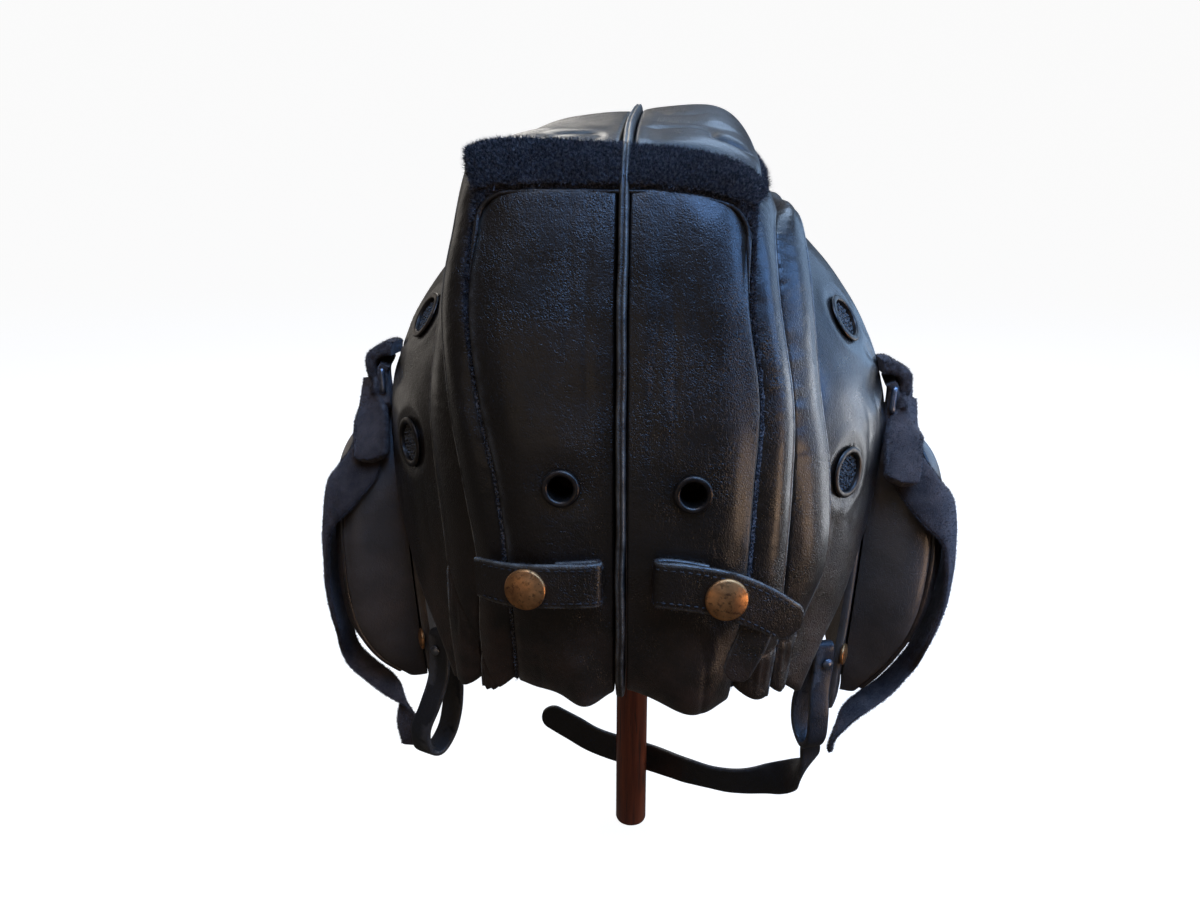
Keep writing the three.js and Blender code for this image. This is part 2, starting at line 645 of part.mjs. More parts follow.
function earStrap(name, side) {
  const layer = (offset) => {
    const onFace = range(10).map((t) => acrossStrap.map((w) => onCup(name, side,
      mix(strapOnCup.t1(t), strapOnCup.t2(t), w), mix(strapOnCup.v1(t), strapOnCup.v2(t), w ** 2),
      strapOnCup[name](t) + offset)));
    const tail = smoothTable(strapColumns, strapTails[name]);
    const place = (t) => new THREE.Vector3(tail.x(t), tail.y(t), tail.z(t));
    const free = range(9).map((t) => {
      const across = new THREE.Vector3(tail.wx(t), tail.wy(t), tail.wz(t)).normalize();
      const along = place(Math.min(t + 0.02, 1)).sub(place(Math.max(t - 0.02, 0)));
      const out = new THREE.Vector3().crossVectors(along, across).normalize();
      if (name === 'right') out.negate();
      return acrossStrap.map((w) => place(t).addScaledVector(across, (w - 0.5) * tail.wide(t))
        .addScaledVector(out, side * offset));
    });
    return [...onFace, ...free];
  };
  return slab(layer(leather), layer(0));
}

sides.forEach(({ name, side }) => {
  const clear = cutHoles(earStrap(name, side), [cupMesh(name, side, gap)]);
  addPiece(`ear_strap_${name}`, 'suede', clear);
});

// Nape tabs. Each is a strap folded back on itself at its end near the seam, with a snap cap on
// it. The right one's free end stands off the ridge, with an under strap below it.
const tabThick = 4.4;
const strapPieces = [
  { name: 'nape_tab_left', finish: 'blackLeather', thick: tabThick, steps: 9, rows: [
    [-45.5, -105.4, -137.8, 14, 0, 0, 1],
    [-38, -112.2, -137.1, 14.5, 0, 0, 1],
    [-29.6, -115.2, -136.6, 14.7, 0, 0, 1],
    [-18, -115.8, -135.8, 14.7, 0, 0, 1],
    [-8, -115.8, -135, 14.7, 0, 0, 1]] },
  { name: 'nape_tab_right', finish: 'blackLeather', thick: tabThick, steps: 11, rows: [
    [12.5, -115.8, -134.3, 15, 0, 0, 1],
    [22, -116, -134.6, 15.5, 0, 0, 1],
    [34, -115.4, -137.3, 15.5, 0, 0, 1],
    [45, -113.2, -142.8, 15, 0, 0, 1],
    [52, -110.6, -147.8, 13, 0, 0, 1],
    [57.5, -107.5, -151.3, 7, 0, 0, 1]] },
  { name: 'nape_under_strap', finish: 'blackLeather', thick: leather, steps: 6, rows: [
    [44, -110.2, -152.8, 10, 1, 0, 0],
    [41.5, -111.8, -160, 10, 1, 0, 0],
    [38, -113, -167, 8, 1, 0, 0]] },
  { name: 'strap_anchor_left', finish: 'suede', thick: leather, steps: 6, rows: [
    [-99.6, -16, -76, 18, -0.2, 1, 0],
    [-104.2, -15.5, -77, 18.5, 0, 1, 0],
    [-106.8, -14.5, -79, 18, 0.35, 1, 0.05]] },
  { name: 'strap_anchor_right', finish: 'suede', thick: leather, steps: 6, rows: [
    [100, -16, -80.5, 18, 0.2, 1, 0],
    [104.6, -15.5, -81.6, 18.5, 0, 1, 0],
    [106.8, -14.5, -83.6, 18, -0.35, 1, 0.05]] },
  { name: 'strap_end_left', finish: 'suede', thick: leather, steps: 6, rows: [
    [-108.4, -21, -101.5, 14, -0.6, 0.8, -0.1],
    [-107, -30.5, -108, 14, -1, 0.25, 0],
    [-105.5, -36.5, -117, 13, -1, 0.15, 0]] },
  { name: 'strap_end_right', finish: 'suede', thick: leather, steps: 6, rows: [
    [107, -28.5, -105.5, 12, 1, 0.3, 0],
    [105.8, -35, -112.5, 13, 1, 0.2, 0],
    [103.8, -42.5, -120.5, 12, 1, 0.15, 0]] },
  { name: 'chin_strap', finish: 'strapLeather', thick: leather, steps: 22, rows: [
    [77.5, -37.5, -240.8, 8, 1, 0.3, 0],
    [78, -34, -250, 11, 0.7, 0.6, 0.4],
    [74.5, -26, -262, 13.5, 0.4, 0.2, 0.9],
    [64, -17, -272, 14.5, 0.2, -0.1, 1],
    [47, -11, -278, 14.5, 0, -0.3, 1],
    [28, -3, -279.5, 14.5, 0, -0.2, 1],
    [9, 11, -282.5, 14.5, 0, 0, 1],
    [-16.5, 17, -279, 14, 0.2, 0, 1],
    [-30, 19, -273, 13.5, 0.3, 0, 1],
    [-41, 20, -267.3, 11, 0.3, 0, 1],
    [-44, 20, -265.5, 6, 0.3, 0, 1]] },
];
strapPieces.forEach(({ name, finish, thick, steps, rows }) => {
  addPiece(name, finish, strap(rows, thick, steps));
});

// Snap caps: domed discs on the tabs, one on the inner edge of each ear flap and a small rivet
// through each bottom loop.
const capSize = (across) => [[0, 0], [across / 2 - 0.3, 0], [across / 2, 0.5],
  [across / 2 - 1.4, snap.thick * 0.8], [0, snap.thick]];
const snapCaps = [
  { name: 'snap_cap_left', across: snap.across, at: [-29.6, -117.8, -137], way: [-0.12, -1, 0] },
  { name: 'snap_cap_right', across: snap.across, at: [33.8, -117.9, -138.2], way: [0.12, -1, 0] },
  ...sides.map(({ name, side }) => {
    const seat = onRing(side, earSnap.turn, earSnap.z, flap.lift + gap);
    const away = onRing(side, earSnap.turn, earSnap.z, flap.lift + gap + 1).sub(seat);
    return { name: `ear_snap_${name}`, across: earSnap.across, at: seat.toArray(),
      way: away.toArray() };
  }),
  { name: 'loop_rivet_left', across: rivet, at: [-81.2, -44.1, -199], way: [-0.44, -0.9, 0] },
  { name: 'loop_rivet_right', across: rivet, at: [81.2, -42.9, -199], way: [0.32, -0.95, 0] },
];
snapCaps.forEach(({ name, across, at, way }) => {
  addPiece(name, 'agedBrass', turned(capSize(across), roundSteps, new THREE.Vector3(...at),
    new THREE.Vector3(...way).normalize()));
});

// Strap slides: flat frames that the suede straps run through, at the top of each ear cup.
function slideMesh(side) {
  const halfLong = slide.long / 2;
  const halfTall = slide.tall / 2;
  const shape = new THREE.Shape([[-halfLong, -halfTall], [halfLong, -halfTall],
    [halfLong, halfTall], [-halfLong, halfTall]].map(([a, b]) => new THREE.Vector2(a, b)));
  const inLong = halfLong - slide.bar;
  const inTall = halfTall - slide.bar;
  shape.holes.push(new THREE.Path([[-inLong, -inTall], [-inLong, inTall], [inLong, inTall],
    [inLong, -inTall]].map(([a, b]) => new THREE.Vector2(a, b))));
  const geometry = new THREE.ExtrudeGeometry(shape, { depth: slide.thick, bevelEnabled: false });
  geometry.translate(0, 0, -slide.thick / 2);
  const across = new THREE.Vector3(0.47 * side, 0.86, -0.2).normalize();
  const face = new THREE.Vector3().crossVectors(across, new THREE.Vector3(0, 0, 1)).normalize();
  const upward = new THREE.Vector3().crossVectors(face, across);
  geometry.applyMatrix4(new THREE.Matrix4().makeBasis(across, upward, face));
  return geometry;
}

sides.forEach(({ name, side }) => {
  const mesh = addPiece(`strap_slide_${name}`, 'darkMetal', slideMesh(side));
  mesh.position.set(...slide[name]);
});

// Bottom loops: leather loops that hang inside the ear flaps' rear corners. Rows are places on the
// loop's middle line, and its width lies along the given level direction.
function loopStrap(rows, direction, wide, thick) {
  const points = rows.map(([x, y, z]) => new THREE.Vector3(x, y, z));
  const curve = new THREE.CatmullRomCurve3(points, true);
  const count = 24;
  const across = new THREE.Vector3(...direction).normalize();
  const ring = (offset, end) => Array.from({ length: count }, (_, i) => {
    const out = new THREE.Vector3().crossVectors(curve.getTangent(i / count), across).normalize();
    return curve.getPoint(i / count).addScaledVector(out, offset)
      .addScaledVector(across, (end * wide) / 2);
  });
  const half = thick / 2;
  const rings = [ring(half, -1), ring(half, 1), ring(-half, 1), ring(-half, -1)];
  const faces = [];
  rings.forEach((_, r) => {
    const next = (r + 1) % rings.length;
    for (let j = 0; j < count; j += 1) {
      const k = (j + 1) % count;
      faces.push([r * count + j, next * count + j, next * count + k],
        [r * count + j, next * count + k, r * count + k]);
    }
  });
  return closedMesh(rings.flat(), faces);
}

const loops = [
  { name: 'left', wide: 10, direction: [0.9, -0.44, 0], rows: [
    [-79.5, -42.5, -193], [-79.8, -42.5, -204], [-80.6, -44, -213], [-84, -46.5, -224],
    [-88.5, -46, -236], [-88.5, -42.5, -247], [-85, -37.5, -250], [-80.5, -33.5, -243],
    [-77.5, -34.5, -231], [-76, -36.5, -219], [-76.6, -38, -207], [-77.5, -39.3, -194.5]] },
  { name: 'right', wide: 8.5, direction: [0.95, 0.32, 0], rows: [
    [79.5, -41.5, -192], [79.6, -41.5, -203], [78.5, -43, -212], [78.5, -45.3, -222],
    [78, -45.3, -232], [76, -41, -237], [73.5, -35.6, -231.5], [73, -35, -221],
    [74.8, -36.7, -210], [76.5, -37.8, -200], [77.5, -38.6, -193]] },
];
loops.forEach(({ name, wide, direction, rows }) => {
  addPiece(`bottom_loop_${name}`, 'strapLeather', loopStrap(rows, direction, wide, leather));
});

// Stand post: a round wooden rod with a low cap that the crown rests on.
const capTop = (radius) => -4 * gap - post.capFall * (radius / post.capRadius) ** 2;
const capProfile = range(6).map((t) => [post.capRadius * (1 - t), capTop(post.capRadius * (1 - t))]);
const postProfile = [[0, post.foot], [post.radius, post.foot],
  [post.radius, capTop(post.capRadius) - post.neck],
  [post.capRadius, capTop(post.capRadius) - post.capEdge], ...capProfile];
const postMesh = turned(postProfile, 24, new THREE.Vector3(), new THREE.Vector3(0, 1, 0));
postMesh.rotateX(Math.PI / 2);
addPiece('stand_post', 'wood', postMesh);

export default helmet;
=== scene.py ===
# %% [markdown]
# # A leather tanker helmet on its post
#
# The real thing is a padded leather crew helmet. A block of padding runs over the head, with a
# band of black fleece across it, two padded ridges on each side and smooth sides with vents.
# Ear cups hang on flaps inside the sides, under suede straps. The frame that is loaded here has
# every piece as a plain solid at its real place, and this notebook makes the surfaces that show.

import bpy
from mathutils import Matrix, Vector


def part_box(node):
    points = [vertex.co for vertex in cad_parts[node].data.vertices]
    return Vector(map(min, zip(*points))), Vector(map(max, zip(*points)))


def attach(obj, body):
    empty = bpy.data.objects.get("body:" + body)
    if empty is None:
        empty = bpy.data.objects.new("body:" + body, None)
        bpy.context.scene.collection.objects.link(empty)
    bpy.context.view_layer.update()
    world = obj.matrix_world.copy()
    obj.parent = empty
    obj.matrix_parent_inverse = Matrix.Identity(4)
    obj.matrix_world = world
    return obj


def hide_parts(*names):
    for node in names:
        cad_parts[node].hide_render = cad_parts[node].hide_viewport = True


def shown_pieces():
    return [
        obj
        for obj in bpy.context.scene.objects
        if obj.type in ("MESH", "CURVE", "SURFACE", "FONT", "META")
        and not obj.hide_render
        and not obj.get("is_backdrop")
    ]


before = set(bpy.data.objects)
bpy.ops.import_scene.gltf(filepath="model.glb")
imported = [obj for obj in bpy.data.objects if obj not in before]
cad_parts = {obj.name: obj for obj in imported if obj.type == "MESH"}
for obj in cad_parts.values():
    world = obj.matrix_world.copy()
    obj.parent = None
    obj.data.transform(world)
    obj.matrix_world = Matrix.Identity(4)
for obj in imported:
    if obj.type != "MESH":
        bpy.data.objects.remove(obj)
print("frame nodes:", len(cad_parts))

# %% The libraries
import math
from itertools import product

import bpy
import numpy as np

MM = 0.001
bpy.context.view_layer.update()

# %% [markdown]
# ## Tables that run smoothly
#
# A helmet has no straight lines, but its shape is simple when it is cut across every few
# centimetres. So each long shape here is a short table with a row for each section. Blender could
# loft such sections with a curve's bevel, but a formula can be asked for a point anywhere, which
# seams, stitches and pile need. Between two rows a column follows a cubic.

# %% Smooth tables
def smooth_table(columns, rows, knots=None):
    """A function of t that gives each column's value. Between two rows a value runs on a cubic,
    whose slope at a row is that of the straight line between the row's two neighbours."""
    values = np.array(rows, float)
    last = len(values) - 1
    knots = np.linspace(0, 1, last + 1) if knots is None else np.array(knots)
    before = np.maximum(np.arange(last + 1) - 1, 0)
    after = np.minimum(np.arange(last + 1) + 1, last)
    slopes = (values[after] - values[before]) / (knots[after] - knots[before])[:, None]

    def read(t):
        t = np.asarray(t, float)
        row = np.clip(np.searchsorted(knots, t) - 1, 0, last - 1)
        step = knots[row + 1] - knots[row]
        w = ((t - knots[row]) / step)[..., None]
        step = step[..., None]
        found = ((2 * w**3 - 3 * w**2 + 1) * values[row]
                 + (w**3 - 2 * w**2 + w) * step * slopes[row]
                 + (3 * w**2 - 2 * w**3) * values[row + 1]
                 + (w**3 - w**2) * step * slopes[row + 1])
        return {name: found[..., i] for i, name in enumerate(columns)}

    return read


halfway = smooth_table(["x"], [[0], [1], [4]])(0.25)["x"]
print("a smooth table of 0, 1 and 4, read a quarter of the way:", float(halfway))


# %% Vectors in whole arrays
def unit(vectors):
    """The same directions with length 1."""
    return vectors / np.linalg.norm(vectors, axis=-1, keepdims=True)


def dot(a, b):
    """The dot product of each pair of vectors, kept as a column."""
    return np.sum(a * b, axis=-1, keepdims=True)


def point(x, y, z):
    """Points from three arrays of coordinates, spread to one shape."""
    return np.stack(np.broadcast_arrays(x, y, z), -1).astype(float)


# %% [markdown]
# ## The helmet's own shape
#
# All leather lies on one base shell: half of a full, rounded dome above the ears and half of a
# much taller ellipsoid below them. It could be sculpted, but then no seam could ask where the
# leather is. The middle block is given by sections along the median line, from nape to
# forehead. Lengths are in millimetres here and are turned into metres when a mesh is made. X is the
# wearer's right, Y the way the wearer looks and Z up, from the seat of the crown.
#
# A section's y and z lie on the median line. Half is half its width and shift moves it to one side.
# Drop, power and corner say how its edges fall away, tilt how it leans and sag how low its sides
# hang. Turn and rise are the angles at which the side panel's rim lies.

# %% The sections and the base shell
SIDES = [("left", -1), ("right", 1)]
SIDE_NAMES = {side: name for name, side in SIDES}
HALF, BACK, FRONT, UP, DOWN = 103.0, 100.0, 106.0, 106.0, 350.0  # the shell's reach each way
ROUNDNESS = 1.72  # its power above the centre, where 2 is an ellipsoid
CENTRE = np.array([0.0, 0.0, -103.0])
WALL = 3.0  # from the shell to its inner face
SAG_AT = 60.0  # how far to the side sag is measured
GAP = 0.4  # between neighbouring pieces
WELT_HALF = 1.7
NEARBY = 0.001  # a short step along the median line, to measure its slope
section_columns = ["y", "z", "half", "shift", "drop", "power", "corner", "tilt", "sag", "turn",
                   "rise"]
section_rows = [
    [-103, -181, 37.75, 0.25, 6, 4, 0, 0, 15, 42.5, -44],
    [-109, -163, 38.35, 1.15, 5, 4, 0, 0, 7, 48, -37.5],
    [-112, -139, 39.9, 1.9, 4, 4, 0, 0, 2, 55, -31],
    [-113, -105, 42.15, 0.95, 4, 4, 0, 0, 0, 62, -22],
    [-111.5, -78, 45.15, -1.35, 4, 4, 0, 0, 0, 68, -15],
    [-108, -47, 44.5, -5, 4, 5, 0, 0, 0, 73, -7],
    [-99, -14, 42.9, -3.4, 6, 6, 1.5, -0.02, 0, 77.5, -0.5],
    [-88, -3, 46.5, -3.5, 8, 6, 3, -0.08, 0, 80, 4],
    [-73, 3.6, 47.65, -3.85, 10, 6, 3, -0.03, 0, 84, 7.5],
    [-45, 10.2, 48.5, -4, 15, 6, 3, 0.05, 0, 90, 9.5],
    [-15, 15.8, 49, -4, 18, 6, 2, 0.1, 0, 97, 10],
    [10, 18.8, 48, -3, 18, 6, 0, 0.09, 0, 104, 9],
    [45, 16.8, 47, -1, 16, 6, 0, 0.06, 0, 112, 6],
    [75, 7, 45, 0, 12, 6, 0, 0, 0, 120, 1],
    [97, -15, 43, 0, 8, 5, 0, 0, 0, 128, -2],
    [108, -42, 42, 0, 6, 4, 0, 0, 0, 134, 4],
    [111, -70, 41, 0, 5, 4, 0, 0, 0, 138, 13],
]
crest_columns = [f"{axis}{ridge}{side}" for side in ("left", "right") for ridge in (1, 2)
                 for axis in "xyz"]
crest_rows = [
    [-51.5, -89.5, -191, -62, -80.5, -194.5, 52, -89.5, -190.5, 57, -80.5, -191.5],
    [-50.5, -94.5, -165, -65, -80.5, -165, 54, -94.5, -165.5, 63, -80.5, -164.5],
    [-49.5, -97, -139.5, -65.5, -80, -139, 54.5, -97, -139.5, 71.5, -80, -139.5],
    [-54, -98, -105, -68, -80, -105.5, 55, -98, -105, 70.5, -80, -105.5],
    [-57.5, -96.5, -79.5, -68.5, -78.5, -81, 54, -96.5, -79.5, 66, -78.5, -81],
    [-59, -92.5, -50, -63, -76, -50, 48.5, -93, -49, 61.5, -75.5, -48],
    [-55, -87, -25, -60, -70, -31.5, 46.5, -84.5, -27.5, 59.5, -70.5, -33.5],
    [-53.5, -78, -12.5, -58.5, -62, -22.5, 47, -75, -21, 58, -63, -25],
    [-53.5, -68, -8, -58.5, -53, -19, 47, -64, -18, 57, -54.5, -21],
    [-54.5, -42, -6.5, -61, -38, -19.5, 47.5, -39, -17, 56.5, -38, -20],
    [-56, -11, -6.5, -65, -8.5, -21.5, 48, -10, -13.5, 57, -9, -20.5],
    [-54, 10.5, -8, -64, 10.5, -19, 48, 10.5, -11, 58, 10.5, -19],
    [-52, 39.5, -8.5, -62, 37.5, -19.5, 50, 39.5, -9.5, 60, 37.5, -19.5],
    [-50, 63, -11.5, -61, 57, -21.5, 50, 63, -11.5, 61, 57, -21.5],
    [-50, 83, -24.5, -62, 73, -31, 50, 83, -24.5, 62, 73, -31],
    [-51, 93.5, -45.5, -63, 82, -48.5, 51, 93.5, -45.5, 63, 82, -48.5],
    [-51, 97, -71.5, -63, 86, -72.5, 51, 97, -71.5, 63, 86, -72.5],
]
median = np.array([row[:2] for row in section_rows], float)
chords = np.hypot(*np.diff(median, axis=0).T)
MEDIAN_LENGTH = chords.sum()
stations = np.r_[0, np.cumsum(chords)] / MEDIAN_LENGTH
section = smooth_table(section_columns, section_rows, stations)
crests = smooth_table(crest_columns, crest_rows, stations)
print("median line, nape to forehead:", round(MEDIAN_LENGTH), "mm")


# %% The block and the crests
def from_median(s, x, n):
    """The point x to the side of the median line at station s and n out from it, square to the
    line. Low sections also hang lower to the sides, by sag times (x / 60) squared."""
    low, high = section(np.maximum(s - NEARBY, 0)), section(np.minimum(s + NEARBY, 1))
    along_y, along_z = high["y"] - low["y"], high["z"] - low["z"]
    length = np.hypot(along_y, along_z)
    here = section(s)
    hang = here["sag"] * (x / SAG_AT) ** 2
    return point(x, here["y"] - n * along_z / length, here["z"] + n * along_y / length - hang)


def on_block(s, u):
    """The block's leather: u goes from -1 at its left edge to 1 at its right. The surface falls
    away from the median line by drop times |u| to the section's power, where the left half has
    drop less corner, and it leans by tilt times x."""
    here = section(s)
    x = u * here["half"] + here["shift"] * np.abs(u)
    drop = here["drop"] - here["corner"] * (u < 0)
    return from_median(s, x, -drop * np.abs(u) ** here["power"] + here["tilt"] * x)


def crest_point(s, ridge, side):
    """The crest of the first or second ridge on a side, at station s."""
    row = crests(s)
    which = f"{ridge}{SIDE_NAMES[side]}"
    return point(*(row[axis + which] for axis in "xyz"))


print("crown's edge at mid length:", np.round(on_block(np.array(0.5), 1), 1), "mm")


# %% The base shell
def shell_radius(d):
    """How far the base shell is from its centre along d: (level^p + upright^p)^(-1/p)."""
    level = np.hypot(d[..., 0] / HALF, d[..., 1] / np.where(d[..., 1] < 0, BACK, FRONT))
    power = np.where(d[..., 2] < 0, 2.0, ROUNDNESS)
    upright = np.abs(d[..., 2]) / np.where(d[..., 2] < 0, DOWN, UP)
    return (level**power + upright**power) ** (-1 / power)


def direction_of(p):
    """The direction in which p is seen from the shell's centre."""
    return unit(p - CENTRE)


def on_shell(d, height):
    """The point that lies height above the base shell in direction d from its centre."""
    return CENTRE + d * (shell_radius(d) + height)[..., None]


def height_of(p):
    """How far p lies above the base shell."""
    return np.linalg.norm(p - CENTRE, axis=-1) - shell_radius(direction_of(p))


def inner_of(p):
    """The point on the shell's inner face that lies under p."""
    d = direction_of(p)
    return on_shell(d, np.full(d.shape[:-1], -WALL))


def raised(p, lift):
    """The points moved away from the shell's centre by lift."""
    return p + direction_of(p) * np.asarray(lift, float)[..., None]


# %% Arcs and rings on the shell
def past_point(p, s, side, arc):
    """The direction that lies arc millimetres further round the shell than p, away from the median
    on that side."""
    d = direction_of(p)
    ahead, behind = np.minimum(s + 0.01, 1), np.maximum(s - 0.01, 0)
    along = from_median(ahead, 0 * s, 0 * s) - from_median(behind, 0 * s, 0 * s)
    across = unit(np.cross(along, d))
    across = across * np.sign(across[..., :1] * side)
    reach = np.linalg.norm(p - CENTRE, axis=-1, keepdims=True)
    return unit(d * reach + across * np.asarray(arc, float)[..., None])


def between(a, b, t):
    """The direction that is a share t of the way along the arc from a to b."""
    angle = np.arccos(np.clip(dot(a, b), -1, 1))
    t = np.asarray(t, float)[..., None]
    return unit((np.sin((1 - t) * angle) * a + np.sin(t * angle) * b) / np.sin(angle))


def on_ring(side, turn, z, out):
    """Level rings of the shell: turn degrees round from the rear at height z, and out from it."""
    below = z < CENTRE[2]
    power = np.where(below, 2.0, ROUNDNESS)
    share = (1 - (np.abs(z - CENTRE[2]) / np.where(below, DOWN, UP)) ** power) ** (1 / power)
    a = np.radians(turn)
    depth = np.where(np.cos(a) > 0, BACK, FRONT)
    return point(side * np.sin(a) * (HALF * share + out), -np.cos(a) * (depth * share + out), z)


print("the shell over the ear:", np.round(on_ring(1, np.array(90.0), np.array(-60.0), 0), 1), "mm")

# %% [markdown]
# ## Relief that is never quite even
#
# Leather on padding has soft bumps, drag lines and folds. A displacement modifier with a cloud
# texture could add them, but it moves every piece by the same noise and opens the seams. Here the
# noise is a numpy function of a place on the helmet, so each surface decides where it applies.
# Random numbers on the corners of a lattice are blended smoothly inside each cell.

# %% Noise
def corner_values(cells, seed):
    """A fixed number from 0 to 1 for each lattice corner: its three coordinates are multiplied by
    large primes, and the bits are mixed."""
    keys = cells.astype(np.int64).astype(np.uint64)
    primes = (73856093, 19349663, 83492791)
    bits = np.full(keys.shape[:-1], seed * 2654435761 % 2**32, np.uint64)
    for axis, prime in enumerate(primes):
        bits = bits ^ (keys[..., axis] * np.uint64(prime))
    bits = (bits ^ (bits >> np.uint64(13))) * np.uint64(1274126177)
    bits = bits ^ (bits >> np.uint64(16))
    return (bits & np.uint64(0xFFFFFF)).astype(float) / 0xFFFFFF


def noise(p, size, seed):
    """Smooth noise from -1 to 1 with lumps of that size, one number or one for each axis."""
    places = p / np.asarray(size, float)
    base = np.floor(places)
    share = places - base
    share = share * share * (3 - 2 * share)
    total = np.zeros(p.shape[:-1])
    for corner in product((0, 1), repeat=3):
        weight = np.prod(np.where(corner, share, 1 - share), axis=-1)
        total += weight * corner_values(base + np.array(corner), seed)
    return 2 * total - 1


def folds(p, size, seed, sharpness=3):
    """Narrow folds from -1 to 0: they lie where smooth noise crosses zero."""
    return -((1 - np.abs(noise(p, size, seed))) ** sharpness)


def bump(distance, reach):
    """1 at distance 0, falling to 0 as a bell of that reach."""
    return np.exp(-((distance / reach) ** 2))


def edge_fall(distance, radius):
    """How far a turned edge has fallen at a distance inside its rim: a quarter round."""
    inside = np.clip(radius - distance, 0, radius)
    return radius - np.sqrt(radius**2 - inside**2)


trial = noise(point(np.arange(0, 300, 0.5), 0, 0), 9, 1)
print("noise runs from", round(trial.min(), 2), "to", round(trial.max(), 2))

# %% [markdown]
# ## From arrays to meshes
#
# Three kinds of body are enough for the whole helmet. A wall lies between two grids of points. A
# loft runs through rings of points. A scatter repeats one small shape thousands of times, for
# pile, threads and stitches. Each is closed, and each is turned so that its volume is positive,
# which makes every face point outwards.

# %% Closed bodies
def quads(a, b, c, d):
    """Rows of four corners, from an array of each corner."""
    return np.stack([a, b, c, d], -1).reshape(-1, 4)


def triangles(faces):
    """Quads cut in two. Rows of three pass as they are."""
    if faces.shape[1] == 3:
        return faces
    return np.concatenate([faces[:, [0, 1, 2]], faces[:, [0, 2, 3]]])


def volume(points, faces):
    """The signed volume: the sum over triangles of a . (b x c) / 6."""
    a, b, c = (points[np.concatenate([triangles(f) for f in faces])[:, i]] for i in range(3))
    return float(np.sum(a * np.cross(b, c)) / 6)


def wall(outer, inner):
    """A closed body between two grids of the same size: both grids and a strip round their rim."""
    rows, columns = outer.shape[:2]
    top = np.arange(rows * columns).reshape(rows, columns)
    low = top + rows * columns
    rim = np.r_[top[0], top[1:, -1], top[-1, -2::-1], top[-2:0:-1, 0]]
    below = rim + rows * columns
    faces = [quads(top[:-1, :-1], top[1:, :-1], top[1:, 1:], top[:-1, 1:]),
             quads(low[:-1, :-1], low[:-1, 1:], low[1:, 1:], low[1:, :-1]),
             quads(rim, np.roll(rim, -1), np.roll(below, -1), below)]
    return np.concatenate([outer.reshape(-1, 3), inner.reshape(-1, 3)]), faces


def outer_only(wear_and_highlight):
    """The pale rub, and on the ridges a painted highlight, for a wall's points: these numbers on
    its outer grid and none on its inner one.
    """
    return np.concatenate([wear_and_highlight.ravel(), 0 * wear_and_highlight.ravel()])


def loft(rings, looped=False):
    """A closed body through rings[i, j]. An open row of rings gets a fan of triangles at each
    end."""
    rows, count = rings.shape[:2]
    at = np.arange(rows * count).reshape(rows, count)
    nxt = np.roll(at, -1, axis=1)
    if looped:
        after, after_next = np.roll(at, -1, axis=0), np.roll(nxt, -1, axis=0)
        return rings.reshape(-1, 3), [quads(at, after, after_next, nxt)]
    points = np.concatenate([rings.reshape(-1, 3), rings[[0, -1]].mean(axis=1)])
    start, end = rows * count, rows * count + 1
    first = np.stack([np.full(count, start), at[0], nxt[0]], -1)
    last = np.stack([np.full(count, end), nxt[-1], at[-1]], -1)
    return points, [quads(at[:-1], at[1:], nxt[1:], nxt[:-1]), first, last]


def turned_body(profile, centre, axis, segments):
    """A lathe body: profile rows are radius and height, carried round the axis through centre."""
    axis = unit(np.array(axis, float))
    first = unit(np.cross(axis, [0.31, 0.52, 0.79]))
    second = np.cross(axis, first)
    a = np.linspace(0, 2 * np.pi, segments, endpoint=False)
    ring = np.cos(a)[:, None] * first + np.sin(a)[:, None] * second
    profile = np.array(profile, float)
    return centre + profile[:, 0, None, None] * ring + profile[:, 1, None, None] * axis


rod = turned_body([[1, 0], [1, 1]], np.zeros(3), [0, 0, 1], 64)
print("a rod of radius 1 and height 1 has the volume", round(abs(volume(*loft(rod))), 3))


# %% Bodies as pieces
def put_mesh(name, points, faces, material, wear_and_highlight=None, sharp=60):
    """Writes arrays into a new mesh object, with a number for each point kept as an attribute: the
    pale of rubbed edges, and along the ridges' crests partly a painted highlight. Edges bent by
    more than sharp degrees stay crisp."""
    if volume(points, faces) < 0:
        faces = [f[:, ::-1] for f in faces]
    mesh = bpy.data.meshes.new(name)
    mesh.vertices.add(len(points))
    mesh.vertices.foreach_set("co", (points * MM).astype(np.float32).ravel())
    corners = np.concatenate([f.ravel() for f in faces]).astype(np.int32)
    sizes = np.concatenate([np.full(len(f), f.shape[1]) for f in faces])
    mesh.loops.add(len(corners))
    mesh.loops.foreach_set("vertex_index", corners)
    mesh.polygons.add(len(sizes))
    mesh.polygons.foreach_set("loop_start", np.r_[0, np.cumsum(sizes)[:-1]].astype(np.int32))
    mesh.update(calc_edges=True)
    mesh.shade_smooth()
    mesh.set_sharp_from_angle(angle=math.radians(sharp))
    if wear_and_highlight is not None:
        attribute = mesh.attributes.new("wear_and_highlight", "FLOAT", "POINT")
        attribute.data.foreach_set("value", wear_and_highlight.astype(np.float32).ravel())
    mesh.materials.append(material)
    piece = bpy.data.objects.new(name, mesh)
    bpy.context.scene.collection.objects.link(piece)
    return piece


def add_piece(name, body, material, wear_and_highlight=None, sharp=60):
    """A piece that rides on the frame, with the material it is given. It stands for the frame's
    node of its own name, if there is one, and hides that node. The frame's materials have the same
    names as ours, so Blender adds a number to ours."""
    piece = put_mesh(name, *body, material, wear_and_highlight, sharp)
    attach(piece, "root")
    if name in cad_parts:
        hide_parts(name)
    print(name, len(piece.data.polygons), "faces")
    return piece


def join_bodies(bodies):
    """Several bodies as one: the points one after another, and the faces moved on to match."""
    points, faces, start = [], [], 0
    for body_points, body_faces in bodies:
        points.append(body_points)
        faces += [f + start for f in body_faces]
        start += len(body_points)
    return np.concatenate(points), faces


# %% [markdown]
# ## Shaders
#
# Every finish is made from nodes that read Object coordinates, so the grain has one real size on
# all pieces and never slides. A picture texture would carry the light of the room with it. A small
# helper keeps the node code short: values that are sockets are linked, all others are written.

